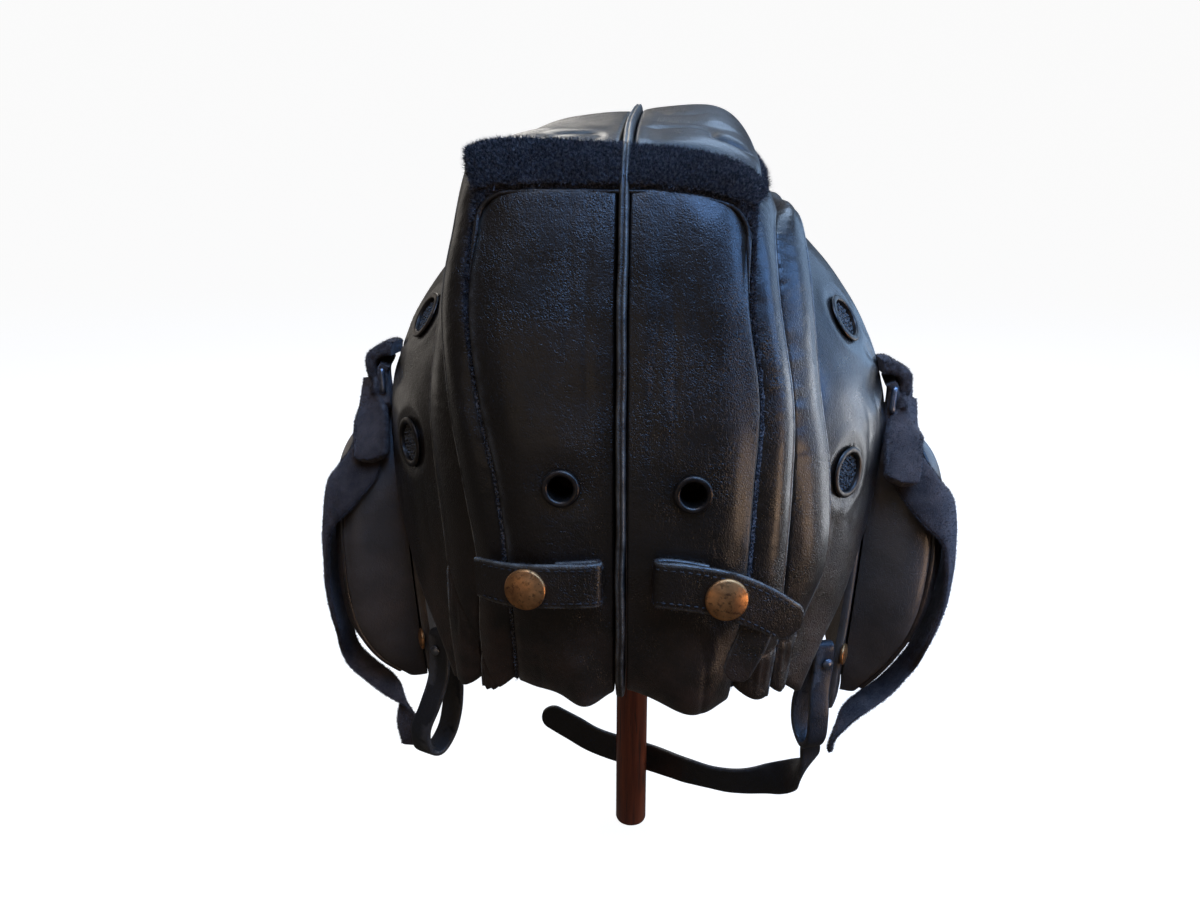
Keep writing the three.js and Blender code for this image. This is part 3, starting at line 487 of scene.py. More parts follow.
# %% Node helpers
def set_inputs(tree, node, values):
    """Links each value that is a socket to the input of that name, and writes the others there."""
    for name, value in values.items():
        if isinstance(value, bpy.types.NodeSocket):
            tree.links.new(value, node.inputs[name])
        else:
            node.inputs[name].default_value = value


def add_node(tree, kind, inputs, **settings):
    """A node of that kind, with its settings and its inputs."""
    node = tree.nodes.new(kind)
    for name, value in settings.items():
        setattr(node, name, value)
    set_inputs(tree, node, inputs)
    return node


def new_finish(name):
    """A material with its tree, its Principled shader and its Object coordinates."""
    material = bpy.data.materials.new(name)
    material.use_nodes = True
    tree = material.node_tree
    coordinates = add_node(tree, "ShaderNodeTexCoord", {}).outputs["Object"]
    return material, tree, tree.nodes["Principled BSDF"], coordinates


def cloud(tree, coordinates, size, detail=3, roughness=0.5, stretch=None):
    """Noise from 0 to 1 with lumps of that size in millimetres. stretch scales the three axes."""
    if stretch:
        mapping = add_node(tree, "ShaderNodeMapping", {"Vector": coordinates, "Scale": stretch})
        coordinates = mapping.outputs["Vector"]
    return add_node(tree, "ShaderNodeTexNoise", {
        "Vector": coordinates, "Scale": 1000 / size, "Detail": detail, "Roughness": roughness,
    }).outputs["Fac"]


def stretched(tree, value, low, high, to_low=0.0, to_high=1.0):
    """The value with its range from low to high carried to another one, and held beyond it."""
    return add_node(tree, "ShaderNodeMapRange", {
        "Value": value, "From Min": low, "From Max": high, "To Min": to_low, "To Max": to_high,
    }).outputs["Result"]


def maths(tree, operation, a, b=0):
    """One sum of two values, such as MULTIPLY."""
    return add_node(tree, "ShaderNodeMath", {0: a, 1: b}, operation=operation).outputs[0]


def mixed(tree, share, first, second):
    """Two colours mixed by a share. A colour is a socket or three numbers."""
    ends = [value if isinstance(value, bpy.types.NodeSocket) else (*value, 1)
            for value in (first, second)]
    inputs = {"Factor": share, "A": ends[0], "B": ends[1]}
    return add_node(tree, "ShaderNodeMix", inputs, data_type="RGBA").outputs["Result"]


def bumped(tree, height, distance, strength=1.0, normal=None):
    """A bump of that height in millimetres, on top of another one if it is given."""
    inputs = {"Height": height, "Distance": distance * MM, "Strength": strength}
    if normal:
        inputs["Normal"] = normal
    return add_node(tree, "ShaderNodeBump", inputs).outputs["Normal"]


def attribute(tree, name):
    """A number that put_mesh has kept for each point."""
    return add_node(tree, "ShaderNodeAttribute", {}, attribute_name=name).outputs["Fac"]


# %% [markdown]
# ## Leather
#
# The helmet's leather is black over brown, half glossy, with a pebbled grain just under a
# millimetre across, and it is browner towards the bottom. Its gloss breaks up where the grain is
# pressed flat, and edges that are rubbed turn grey brown. The same pale colour is put along the
# ridges' crests, partly as rub and partly as a painted highlight. The grain is the distance to the
# edges of Voronoi cells, bent by noise so that no cell is straight. Painted roughness maps would
# give the same on one piece only.

# %% The leather finish
FADE_FROM, FADE_TO = -0.128, -0.18  # heights in metres over which the leather turns browner towards the bottom
DUST = 0.16


def leather(name, dark, light, worn_and_highlight, gloss, grain=0.9, depth=0.13, hem=None):
    """dark and light are the ends of its tone, the third colour is that of rubbed edges and of the
    highlight painted along the ridges' crests, gloss the range of its roughness, grain the size and
    depth the height of its pebbles in millimetres. hem is the brown that it turns to towards the
    bottom."""
    material, tree, shader, at = new_finish(name)
    tone = stretched(tree, cloud(tree, at, 34, 4, 0.6), 0.35, 0.7)
    base = mixed(tree, tone, dark, light)
    if hem:
        # browner towards the bottom, by height, broken up by noise
        height = add_node(tree, "ShaderNodeSeparateXYZ", {"Vector": at}).outputs["Z"]
        browning = maths(tree, "MULTIPLY", stretched(tree, height, FADE_FROM, FADE_TO),
                      stretched(tree, cloud(tree, at, 13, 5, 0.65), 0.38, 0.62))
        base = mixed(tree, browning, base, hem)
    # the pale colour of rubbed edges; along the ridges' crests it is partly a painted highlight
    rub_and_highlight = maths(tree, "MULTIPLY", attribute(tree, "wear_and_highlight"),
                   stretched(tree, cloud(tree, at, 5, 4, 0.65), 0.3, 0.62))
    base = mixed(tree, rub_and_highlight, base, worn_and_highlight)
    specks = stretched(tree, cloud(tree, at, 1.3, 2, 0.7), 0.72, 0.8, 0, DUST)
    base = mixed(tree, specks, base, [min(1, 5 * value + 0.05) for value in light])

    # the grain: pebbles and fine lines, which fade where the leather is stretched smooth
    bent = add_node(tree, "ShaderNodeTexNoise", {"Vector": at, "Scale": 1000 / 2.2, "Detail": 2})
    bend = {"Factor": 0.0011, "A": at, "B": bent.outputs["Color"]}
    wander = add_node(tree, "ShaderNodeMix", bend, data_type="VECTOR").outputs["Result"]
    cells = add_node(tree, "ShaderNodeTexVoronoi", {"Vector": wander, "Scale": 1000 / grain},
                     feature="DISTANCE_TO_EDGE")
    pebbles = stretched(tree, cells.outputs["Distance"], 0.0, 0.28)
    coarse = stretched(tree, cloud(tree, at, 24, 3, 0.6), 0.44, 0.62, 0.4, 1)
    middle = maths(tree, "SUBTRACT", cloud(tree, at, 2.2, 3, 0.55, stretch=(1.3, 1, 0.75)), 0.5)
    lines = stretched(tree, maths(tree, "ABSOLUTE", middle), 0.0, 0.06)
    lines = maths(tree, "MULTIPLY", lines, coarse)
    normal = bumped(tree, cloud(tree, at, 9, 5, 0.6), 0.7, 0.5)
    normal = bumped(tree, lines, 0.13, 0.8, normal)
    normal = bumped(tree, maths(tree, "MULTIPLY", pebbles, coarse), depth, 0.7, normal)
    normal = bumped(tree, cloud(tree, at, 0.45, 2), 0.06, 0.6, normal)

    uneven = stretched(tree, cloud(tree, at, 11, 4, 0.6), 0.3, 0.7, *gloss)
    uneven = maths(tree, "ADD", uneven, stretched(tree, pebbles, 0, 1, 0.12, 0))
    set_inputs(tree, shader, {"Base Color": base, "Normal": normal, "Roughness": uneven,
                              "Coat Weight": 0.3, "Coat Roughness": 0.2})
    return material


# %% The three leathers
black_leather = leather("black_leather", (0.0085, 0.0046, 0.0024), (0.0205, 0.011, 0.0058),
                        (0.22, 0.19, 0.15), gloss=(0.24, 0.38), hem=(0.052, 0.0245, 0.0135))
ear_leather = leather("ear_leather", (0.05, 0.034, 0.024), (0.108, 0.073, 0.051),
                      (0.18, 0.14, 0.105), gloss=(0.33, 0.46), grain=0.7, depth=0.07)
strap_leather = leather("strap_leather", (0.01, 0.0088, 0.009), (0.022, 0.019, 0.0195),
                        (0.075, 0.066, 0.06), gloss=(0.45, 0.6), grain=0.8, depth=0.09)
print("nodes in the black leather:", len(black_leather.node_tree.nodes))

# %% [markdown]
# ## Fleece, suede, metal, thread and wood
#
# Each is the same few steps again: clouds of noise choose between two or three tones, and a last
# line hands the result to the shader. Fleece is a dull black with paler specks the size of its
# strands and a faint sheen at grazing light. Suede has a nap of about a third of a millimetre and
# no gloss. The caps' brass is brown with darker spots. The post is varnished wood with its grain
# along Z. Bitmaps of such cloths would need an unwrapped map for every piece.

# %% Fleece and suede
def fleece(name):
    """Dull black pile: strand-sized specks and a few pale bits of lint."""
    material, tree, shader, at = new_finish(name)
    tone = stretched(tree, cloud(tree, at, 6, 3, 0.6), 0.3, 0.7)
    base = mixed(tree, tone, (0.007, 0.0062, 0.0065), (0.02, 0.0185, 0.02))
    strands = stretched(tree, cloud(tree, at, 0.9, 1), 0.46, 0.64)
    base = mixed(tree, strands, base, (0.16, 0.145, 0.145))
    lint = stretched(tree, cloud(tree, at, 1.6, 1), 0.74, 0.8)
    base = mixed(tree, lint, base, (0.22, 0.22, 0.24))
    set_inputs(tree, shader, {"Base Color": base, "Roughness": 0.85, "Sheen Weight": 0.4,
                              "Sheen Roughness": 0.4, "Sheen Tint": (0.85, 0.8, 0.85, 1)})
    return material


def suede(name):
    """Brown black suede, paler where it is rubbed, with a fine nap as its bump."""
    material, tree, shader, at = new_finish(name)
    tone = stretched(tree, cloud(tree, at, 9, 4, 0.65), 0.32, 0.68)
    base = mixed(tree, tone, (0.04, 0.027, 0.022), (0.098, 0.068, 0.055))
    rub_and_highlight = maths(tree, "MULTIPLY", attribute(tree, "wear_and_highlight"),
                   stretched(tree, cloud(tree, at, 2.5, 3), 0.4, 0.65))
    base = mixed(tree, rub_and_highlight, base, (0.15, 0.125, 0.115))
    normal = bumped(tree, cloud(tree, at, 4, 3), 0.5, 0.7)
    normal = bumped(tree, cloud(tree, at, 0.5, 4, 0.7), 0.35, 1.0, normal)
    set_inputs(tree, shader, {"Base Color": base, "Normal": normal, "Roughness": 0.95,
                              "Specular IOR Level": 0.25, "Sheen Weight": 0.18,
                              "Sheen Roughness": 0.5, "Sheen Tint": (0.8, 0.78, 0.85, 1)})
    return material


black_fleece = fleece("black_fleece")
black_suede = suede("black_suede")
print("nodes in the suede:", len(black_suede.node_tree.nodes))


# %% Metal, thread and wood
def old_metal(name, bright, dull, spots, spotting, roughness):
    """Metal under a patina: bright and dull run into each other, with spots on top of them."""
    material, tree, shader, at = new_finish(name)
    base = mixed(tree, stretched(tree, cloud(tree, at, 5, 4, 0.65), 0.36, 0.66), bright, dull)
    stain = stretched(tree, cloud(tree, at, 1.5, 4, 0.6), 0.53, 0.66, 0, spotting)
    base = mixed(tree, stain, base, spots)
    uneven = stretched(tree, cloud(tree, at, 2.4, 4, 0.65), 0.3, 0.7, *roughness)
    normal = bumped(tree, cloud(tree, at, 0.9, 3), 0.05, 0.6)
    set_inputs(tree, shader, {"Base Color": base, "Roughness": uneven, "Normal": normal,
                              "Metallic": 0.9})
    return material


def thread(name, colour, sheen):
    """Spun thread: its colour runs to one 2.2 times as bright."""
    material, tree, shader, at = new_finish(name)
    base = mixed(tree, cloud(tree, at, 1.2, 2), colour, [2.2 * value for value in colour])
    set_inputs(tree, shader, {"Base Color": base, "Roughness": 0.7, "Sheen Weight": sheen})
    return material


def varnished_wood(name):
    """Red brown wood: streaks and pores stretched along Z, under a clear coat."""
    material, tree, shader, at = new_finish(name)
    streaks = cloud(tree, at, 2.4, 5, 0.62, stretch=(1, 1, 0.06))
    pores = stretched(tree, cloud(tree, at, 0.8, 3, 0.6, stretch=(1, 1, 0.04)), 0.56, 0.7)
    tone = stretched(tree, streaks, 0.3, 0.7)
    base = mixed(tree, tone, (0.13, 0.022, 0.007), (0.33, 0.07, 0.022))
    base = mixed(tree, pores, base, (0.02, 0.007, 0.004))
    set_inputs(tree, shader, {"Base Color": base, "Normal": bumped(tree, pores, -0.06),
                              "Roughness": 0.32, "Coat Weight": 0.5, "Coat Roughness": 0.12})
    return material


aged_brass = old_metal("aged_brass", (0.74, 0.34, 0.12), (0.42, 0.18, 0.065),
                       (0.045, 0.024, 0.014), 0.65, (0.34, 0.52))
dark_metal = old_metal("dark_metal", (0.075, 0.062, 0.052), (0.035, 0.03, 0.028),
                       (0.11, 0.075, 0.045), 0.6, (0.3, 0.5))
worn_steel = old_metal("worn_steel", (0.32, 0.33, 0.36), (0.16, 0.16, 0.17),
                       (0.05, 0.04, 0.035), 0.5, (0.28, 0.45))
black_thread = thread("black_thread", (0.016, 0.013, 0.012), 0.08)
mesh_thread = thread("mesh_thread", (0.05, 0.045, 0.04), 0.15)
stand_wood = varnished_wood("stand_wood")
print("finishes:", sorted(m.name for m in bpy.data.materials))

# %% [markdown]
# ## Threads, stitches and pile
#
# Stitches and pile are what tells sewn leather from moulded plastic. Blender's hair system or
# instances on points could make them, and the export would have to turn them into meshes first.
# Here one small spindle is multiplied by arrays of places and directions, and the whole seam is
# one mesh. A strand of pile is a thin four-faced spike.

# %% Scattered shapes
def resampled(line, pitch, closed=False):
    """Points at an even pitch along a line of points, and the direction of the line there."""
    line = np.concatenate([line, line[:1]]) if closed else line
    walked = np.r_[0, np.cumsum(np.linalg.norm(np.diff(line, axis=0), axis=-1))]
    at = np.arange(pitch / 2, walked[-1], pitch)
    places, ahead, behind = (
        np.stack([np.interp(at + step, walked, line[:, i]) for i in range(3)], -1)
        for step in (0, pitch / 4, -pitch / 4))
    return places, unit(ahead - behind)


def repeat_shape(shape, faces, places, first, second, third):
    """One shape set at every place. Its x, y and z run along the three arrays of vectors."""
    count = len(places)
    points = (places[:, None] + shape[None, :, :1] * first[:, None]
              + shape[None, :, 1:2] * second[:, None] + shape[None, :, 2:] * third[:, None])
    starts = np.arange(count)[:, None, None] * len(shape)
    return points.reshape(-1, 3), [(f[None] + starts).reshape(-1, f.shape[1]) for f in faces]


STITCH_POINTS = 12


def spindle():
    """A stitch one long, one wide and one high: two points and two rings of five between them."""
    a = np.linspace(0, 2 * np.pi, 5, endpoint=False)
    ring = np.stack([np.zeros(5), 0.5 * np.cos(a), 0.5 * np.sin(a)], -1)
    shape = np.concatenate([[[-0.5, 0, -0.2]], ring + [-0.28, 0, 0], ring + [0.28, 0, 0],
                            [[0.5, 0, -0.2]]])
    i = np.arange(5)
    j = (i + 1) % 5
    ends = np.concatenate([np.stack([0 * i, 1 + j, 1 + i], -1),
                           np.stack([0 * i + 11, 6 + i, 6 + j], -1)])
    return shape, [quads(1 + i, 1 + j, 6 + j, 6 + i), ends]


def stitch_line(line, outward, pitch=3.3, length=2.3, width=0.62, sink=0.1, closed=False):
    """Stitches along a line. outward is one direction, or one for each point of the line."""
    places, along = resampled(line, pitch, closed)
    nearest = np.argmin(np.linalg.norm(places[:, None] - line[None], axis=-1), axis=1)
    normal = np.broadcast_to(outward, line.shape)[nearest]
    side = unit(np.cross(normal, along))
    normal = np.cross(along, side)
    shape, faces = spindle()
    return repeat_shape(shape, faces, places - normal * sink, along * length, side * width,
                        normal * width)


def pile(roots, outward, length, width, lean, seed):
    """A thin spike at each root. It stands along outward and leans by a random share of lean."""
    random = np.random.default_rng(seed)
    count = len(roots)
    tip_way = unit(outward + lean * random.normal(size=(count, 3)))
    first = unit(np.cross(tip_way, random.normal(size=(count, 3))))
    second = np.cross(tip_way, first)
    long = (length * random.uniform(0.6, 1.15, count))[:, None]
    a = np.radians([0, 120, 240])
    shape = np.array([[np.cos(v), np.sin(v), 0] for v in a] + [[0, 0, 1]])
    faces = [np.array([[0, 1, 3], [1, 2, 3], [2, 0, 3], [0, 2, 1]])]
    half = width / 2
    return repeat_shape(shape, faces, roots, first * half, second * half, tip_way * long)


print("a stitch has", len(spindle()[0]), "points")


# %% Cords and spacing
def tube(line, radius, sides=8, closed=False):
    """A round cord of that radius along a line of points. Its rings start at a steady side."""
    ahead = np.roll(line, -1, axis=0) if closed else np.r_[line[1:], line[-1:]]
    behind = np.roll(line, 1, axis=0) if closed else np.r_[line[:1], line[:-1]]
    along = unit(ahead - behind)
    first = unit(np.cross(along, unit(line.mean(axis=0) - line + 1e-6)))
    second = np.cross(along, first)
    a = np.linspace(0, 2 * np.pi, sides, endpoint=False)[None, :, None]
    radius = np.broadcast_to(radius, len(line))[:, None, None]
    rings = line[:, None] + radius * (np.cos(a) * first[:, None] + np.sin(a) * second[:, None])
    return loft(rings, looped=closed)


def close_at_ends(count, share=0.5):
    """Numbers from 0 to 1, closer together towards both ends, where edges are turned."""
    t = np.linspace(0, 1, count)
    return (1 - share) * t + share * 0.5 * (1 - np.cos(np.pi * t))


print("five numbers closer at the ends:", np.round(close_at_ends(5), 2))

# %% [markdown]
# ## The padded block
#
# On the real helmet two back panels are sewn together down the middle, with a welt in the seam,
# and their outer edges are turned down into a groove. A cube with a subdivision modifier could be
# pushed into that shape, but the seams would drift from the frame. Here each panel is a grid over
# the block's own surface: it falls away at its edges as turned leather does, and its relief is the
# sum of soft padding, drag lines and the gathers over the nape. Two more bells make the lumps that
# hang over the hem.

# %% Where the band lies, and the lumps over the hem
band_rear, band_front = stations[6], stations[7] + 0.002
BAND_SKEW = 0.0125  # how much lower the band runs at its right end
CORNER = 9.0  # radius of the panels' upper outer corners
PANEL_TURN, WELT_TURN, HEM_TURN = 1.4, 0.9, 3.0  # radius at which each edge is turned
HEM_AT = -186
DIP, DIP_REACH = 0.9, 9.5  # the dent that an eyelet presses into the padding
LUMPS = [
    {"x": -12, "z": -178, "wide": 8, "tall": 13, "out": 4, "down": 5},
    {"x": 26, "z": -176, "wide": 15, "tall": 15, "out": 5, "down": 6},
]


print("fleece band:", round((band_front - band_rear) * MEDIAN_LENGTH, 1), "mm wide")


# %% Outlines and lumps
def middle_of(node):
    """The middle of a frame node's box, in millimetres."""
    low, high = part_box(node)
    return (np.array(low) + np.array(high)) / 2 / MM


def band_edge(s, u):
    """The band's edge at u: it is square to the welt on the left and runs lower on the right."""
    return s - BAND_SKEW * np.maximum(u, 0) ** 2


def first_u(s):
    """Where a panel starts beside the welt."""
    return (WELT_HALF + GAP) / section(s)["half"]


def gathered(p):
    """The two soft lumps over the hem, as bells of x and z that push out and down."""
    p = p.copy()
    for lump in LUMPS:
        share = (bump(p[..., 0] - lump["x"], lump["wide"])
                 * bump(p[..., 2] - lump["z"], lump["tall"]))
        p[..., 1] -= lump["out"] * share
        p[..., 2] -= lump["down"] * share
    return p


def corner_distance(to_side, to_top, radius):
    """How far a point lies inside an outline whose corner is rounded with that radius."""
    far = np.hypot(np.maximum(radius - to_side, 0), np.maximum(radius - to_top, 0))
    return np.where((to_side < radius) & (to_top < radius), radius - far,
                    np.minimum(to_side, to_top))


def padding(p, seed, amount=1.0):
    """Soft unevenness of stuffed leather: two sizes of noise."""
    return amount * (0.55 * noise(p, 34, seed) + 0.22 * noise(p, 13, seed + 1))


print("left eyelet at", np.round(middle_of("nape_eyelet_left"), 1), "mm")


# %% A back panel
def back_relief(p, side):
    """Soft padding with a dip under the eyelet, folds that run up from the hem, crumples in the
    hem itself, and drag lines beside the welt, which are strong on the right only."""
    hole = middle_of(f"nape_eyelet_{SIDE_NAMES[side]}")
    beside = np.hypot(p[..., 0] - hole[0], p[..., 2] - hole[2])
    lift = padding(p, 11 + side) - DIP * bump(beside, DIP_REACH)
    hem = np.minimum(np.exp(-(p[..., 2] - HEM_AT) / 20), 1)
    lift = lift + 1.5 * hem * folds(p, (11, 60, 34), 21 + side, 4)
    lift = lift + 0.5 * bump(p[..., 2] + 150, 22) * folds(p, (9, 60, 16), 31 + side)
    lift = lift + 0.9 * hem * noise(p, 7, 35 + side)
    strength, height = (1.0, -62) if side > 0 else (0.4, -55)
    where = bump(p[..., 0] - 15 * side, 12) * bump(p[..., 2] - height, 34)
    return lift + strength * where * folds(p, (6.5, 30, 46), 41 + side)


def back_panel(side, rows=190, columns=64):
    """One panel: t runs from its hem to the band and w from the welt to its outer edge. Every
    edge falls on a quarter round, and beyond the rounded corner the leather is pressed down."""
    w = close_at_ends(columns, 0.75)[None]
    t = close_at_ends(rows, 0.35)[:, None]
    s = t * band_edge(band_rear, side * w)
    u = side * (first_u(s) + (1 - first_u(s)) * w)
    half = section(s)["half"]
    to_welt = (np.abs(u) - first_u(s)) * half
    to_side = (1 - np.abs(u)) * half
    to_top = (band_edge(band_rear, side * w) - s) * MEDIAN_LENGTH
    to_hem = s * MEDIAN_LENGTH
    rim = corner_distance(to_side, to_top, CORNER)
    fall = edge_fall(np.maximum(rim, 0), PANEL_TURN) + np.maximum(-rim, 0) * 0.9
    fall = fall + edge_fall(to_welt, WELT_TURN) + 0.5 * bump(to_welt, 4)
    fall = fall + edge_fall(to_hem, HEM_TURN)
    p = gathered(on_block(s, u))
    inside = 1 - bump(np.minimum(np.minimum(rim, to_welt), 1.2 * to_hem), 5)
    round_off = 2.2 * bump(np.maximum(to_side, 0), 8)
    outer = raised(p, back_relief(p, side) * inside - fall - round_off)
    wear_and_highlight = 0.25 * bump(np.abs(rim - 1.6), 1.2) + 0.5 * bump(to_hem, 4)
    return wall(outer, inner_of(p)), outer_only(wear_and_highlight)


# %% The eyelets' holes, and both back panels
def cut_hole(piece, centre, axis, radius):
    """Bores a round hole through a piece with a Boolean modifier, which is applied at once."""
    rings = turned_body([[radius, -30], [radius, 30]], centre, axis, 40)
    cutter = put_mesh("hole_cutter", *loft(rings), piece.data.materials[0])
    modifier = piece.modifiers.new("hole", "BOOLEAN")
    modifier.object = cutter
    modifier.operation = "DIFFERENCE"
    modifier.solver = "EXACT"
    bpy.context.view_layer.objects.active = piece
    with bpy.context.temp_override(object=piece):
        bpy.ops.object.modifier_apply(modifier=modifier.name)
    bpy.data.objects.remove(cutter)


def out_of_back(place):
    """The block's outward direction near a place on the back, from the formula's two slopes."""
    tries = np.linspace(0.02, band_rear, 400)
    s = tries[np.argmin(np.abs(section(tries)["z"] - place[2]))]
    here = section(np.array(s))
    u = place[0] / (here["half"] + np.sign(place[0]) * here["shift"])
    step = 0.02
    rise = on_block(np.array(s + step), u) - on_block(np.array(s - step), u)
    run = on_block(np.array(s), u + step) - on_block(np.array(s), u - step)
    normal = unit(np.cross(rise, run))
    return normal * np.sign(normal @ direction_of(place))


EYELET_HOLE = 4.8
for name, side in SIDES:
    body, wear_and_highlight = back_panel(side)
    panel = add_piece(f"back_panel_{name}", body, black_leather, wear_and_highlight)
    seat = middle_of(f"nape_eyelet_{name}")
    cut_hole(panel, seat, out_of_back(seat), EYELET_HOLE)

# %% [markdown]
# ## The top panels and the fleece band
#
# Forward of the band the same block runs on over the crown to the forehead. The band itself is a
# strip of black sheepskin pile. A bump map on a plain strip reads as cloth, not as pile, so the
# strip carries real strands. Their roots are random places on the strip, and around the back
# panels' rounded corners, where the pile fills the outline.

# %% The top panels
def top_panel(side, rows=200, columns=52):
    """One panel: t runs from the band to the forehead and w from the welt to its outer edge. It is
    crumpled behind, where it hangs over the band, and eased in at the forehead."""
    w = close_at_ends(columns, 0.75)[None]
    t = close_at_ends(rows, 0.35)[:, None]
    start = band_edge(band_front, side * w)
    s = start + t * (1 - start)
    u = side * (first_u(s) + (1 - first_u(s)) * w)
    half = section(s)["half"]
    to_welt = (np.abs(u) - first_u(s)) * half
    to_side = (1 - np.abs(u)) * half
    to_band = (s - start) * MEDIAN_LENGTH
    to_front = (1 - s) * MEDIAN_LENGTH
    p = on_block(s, u)
    crumple = bump(to_band, 46) * (2.6 if side > 0 else 1.6)
    lift = padding(p, 51 + side, 0.8) + crumple * (folds(p, (17, 11, 17), 61 + side, 3) - 0.3)
    lift = lift + 0.8 * bump(to_front, 30) * folds(p, (16, 40, 16), 71 + side)
    rim = np.minimum(to_side, np.minimum(to_band, to_front))
    inside = 1 - bump(np.minimum(rim, to_welt), 6)
    fall = edge_fall(rim, 3) + edge_fall(to_welt, 1.5) + 0.5 * bump(to_welt, 4)
    outer = raised(p, lift * inside - fall)
    wear_and_highlight = 0.6 * bump(np.abs(rim - 1.6), 1.6)
    return wall(outer, inner_of(p)), outer_only(wear_and_highlight)


for name, side in SIDES:
    body, wear_and_highlight = top_panel(side)
    panel = add_piece(f"top_panel_{name}", body, black_leather, wear_and_highlight)

# %% The fleece band
BAND_LIFT, STRAND, STRAND_WIDTH = 0.8, 2.3, 0.4
BAND_MARGIN = 0.001  # a third of a millimetre between the band's base and the panels
CORNER_SINK = 0.8  # pile in the panels' corners stands lower than the band


def fleece_base(side, rows=26, columns=46):
    """The strip's skin, from the back panel to the top panel."""
    w = close_at_ends(columns)[None]
    t = np.linspace(0, 1, rows)[:, None]
    low, high = band_edge(band_rear, side * w), band_edge(band_front, side * w)
    s = low + BAND_MARGIN + t * (high - low - 2 * BAND_MARGIN)
    u = side * (first_u(s) + (1 - first_u(s)) * w)
    p = on_block(s, u)
    outer = raised(p, BAND_LIFT + 0.4 * noise(p, 5, 81))
    return wall(outer, inner_of(p))


def fleece_roots(side, count, seed):
    """Random places on the band and in the corners of the back panel, with their lift."""
    random = np.random.default_rng(seed)
    w = random.uniform(0, 1, count)
    u = side * w
    low, high = band_edge(band_rear, u), band_edge(band_front, u)
    reach = CORNER / MEDIAN_LENGTH
    s = random.uniform(low - reach, high)
    to_side = (1 - w) * section(s)["half"]
    to_top = (low - s) * MEDIAN_LENGTH
    rim = corner_distance(to_side, to_top, CORNER)
    keep = (s > low + 0.003) | (rim < 0.4)
    s, u = s[keep], u[keep]
    p = on_block(s, u)
    lift = np.where(s > band_edge(band_rear, u), BAND_LIFT, -CORNER_SINK)
    return raised(p, lift)


BAND_STRANDS, GROOVE_STRANDS = 30000, 22000
for number, (name, side) in enumerate(SIDES):
    roots = fleece_roots(side, BAND_STRANDS, 5 + number)
    clumps = np.stack([noise(roots, 4.5, 91 + axis) for axis in range(3)], -1)
    way = direction_of(roots) + 0.45 * clumps
    strands = pile(roots, way, STRAND, STRAND_WIDTH, 0.5, 7 + number)
    body = join_bodies([fleece_base(side), strands])
    add_piece(f"fleece_band_{name}", body, black_fleece)
    print("with", len(roots), "strands")

# %% [markdown]
# ## The centre welt and the panels' piping
#
# The welt is a folded strip caught in the middle seam: it stands about two millimetres proud, with
# a shallow line along its top. A bevelled curve would be round. So a profile with a dip in its
# middle is carried along the median line, a little unevenly, and rises over the fleece band. The
# back panels' upper edges and corners are bound by a thin piping, a cord that follows their
# outline and thins out a little way down the sides.

# %% The welt and the piping
WELT_RISE, BAND_CLIMB = 1.8, 0.9
PIPING, PIPING_IN, PIPING_DOWN, PIPING_ACROSS = 0.85, 1.2, 26, 42


def centre_welt(rows=420, columns=13):
    """The welt: s along the median line and w across it. Its height is its rise times 1 - w to the
    fourth, with a dip in the middle and sides that turn down, and it climbs over the band."""
    s = np.linspace(0, 1, rows)[:, None]
    w = np.linspace(-1, 1, columns)[None]
    onto = np.clip((s - band_rear + 0.015) / 0.02, 0, 1)
    off = np.clip((band_front + 0.015 - s) / 0.02, 0, 1)
    p = from_median(s, WELT_HALF * w, 0 * w * s)
    shape = WELT_RISE * (1 - w**4) * (1 - 0.2 * bump(w, 0.22)) - 1.2 * np.abs(w) ** 6
    shape = shape + 0.25 * noise(p, (40, 6, 6), 95) * (1 - w**2)
    shape = shape + BAND_CLIMB * onto * off * (1 - w**4)
    sway = 0.35 * noise(point(0 * s, section(s)["y"], section(s)["z"]), 17, 96)
    outer = raised(p, shape)
    outer[..., 0] += sway
    wear_and_highlight = 0.75 * bump(np.abs(w) - 0.55, 0.3) + 0 * s
    return wall(outer, inner_of(p)), outer_only(wear_and_highlight)


def outline_point(side, to_side, to_top):
    """A place on the block, given by its distances from a back panel's side and top edges."""
    s = band_rear - to_top / MEDIAN_LENGTH
    for _ in range(3):
        w = 1 - to_side / section(s)["half"]
        s = band_edge(band_rear, side * w) - to_top / MEDIAN_LENGTH
    return on_block(s, side * w)


def panel_piping(side, count=40):
    """The panel's outline: up its side, round the corner on an arc, and along the top to the
    welt. The cord thickens over its first 14 mm."""
    radius = CORNER - PIPING_IN
    up = np.linspace(PIPING_DOWN, CORNER, count)
    a = np.linspace(0, np.pi / 2, 16)
    top = np.linspace(CORNER, PIPING_ACROSS, count)
    inset = np.full(count, PIPING_IN)
    to_side = np.r_[inset, PIPING_IN + radius * (1 - np.cos(a)), top]
    to_top = np.r_[up, PIPING_IN + radius * (1 - np.sin(a)), inset]
    line = raised(outline_point(side, to_side, to_top), -0.9 + 0 * to_side)
    fade = np.clip((PIPING_DOWN - to_top) / 14, 0.2, 1)
    return tube(line, PIPING * fade, 8)


body, wear_and_highlight = centre_welt()
add_piece("centre_welt", body, black_leather, wear_and_highlight, sharp=75)
for name, side in SIDES:
    add_piece(f"panel_piping_{name}", panel_piping(side), black_leather)

# %% [markdown]
# ## The grooves and the ridges
#
# Beside the block a strip of fleece lies in a groove. Its pile stands high beside the crown and is
# worn to a few short strands down the back. Beyond it two padded ridges run from nape to forehead.
# Each swells, climbs to a crest whose edge is sewn into a tight line, rubbed pale and partly
# painted with a pale highlight, and drops steeply behind it. A bevelled curve could give one
# section only. The height across a ridge is a power curve and a sine here, with small gathers
# across its start where the leather is eased in.

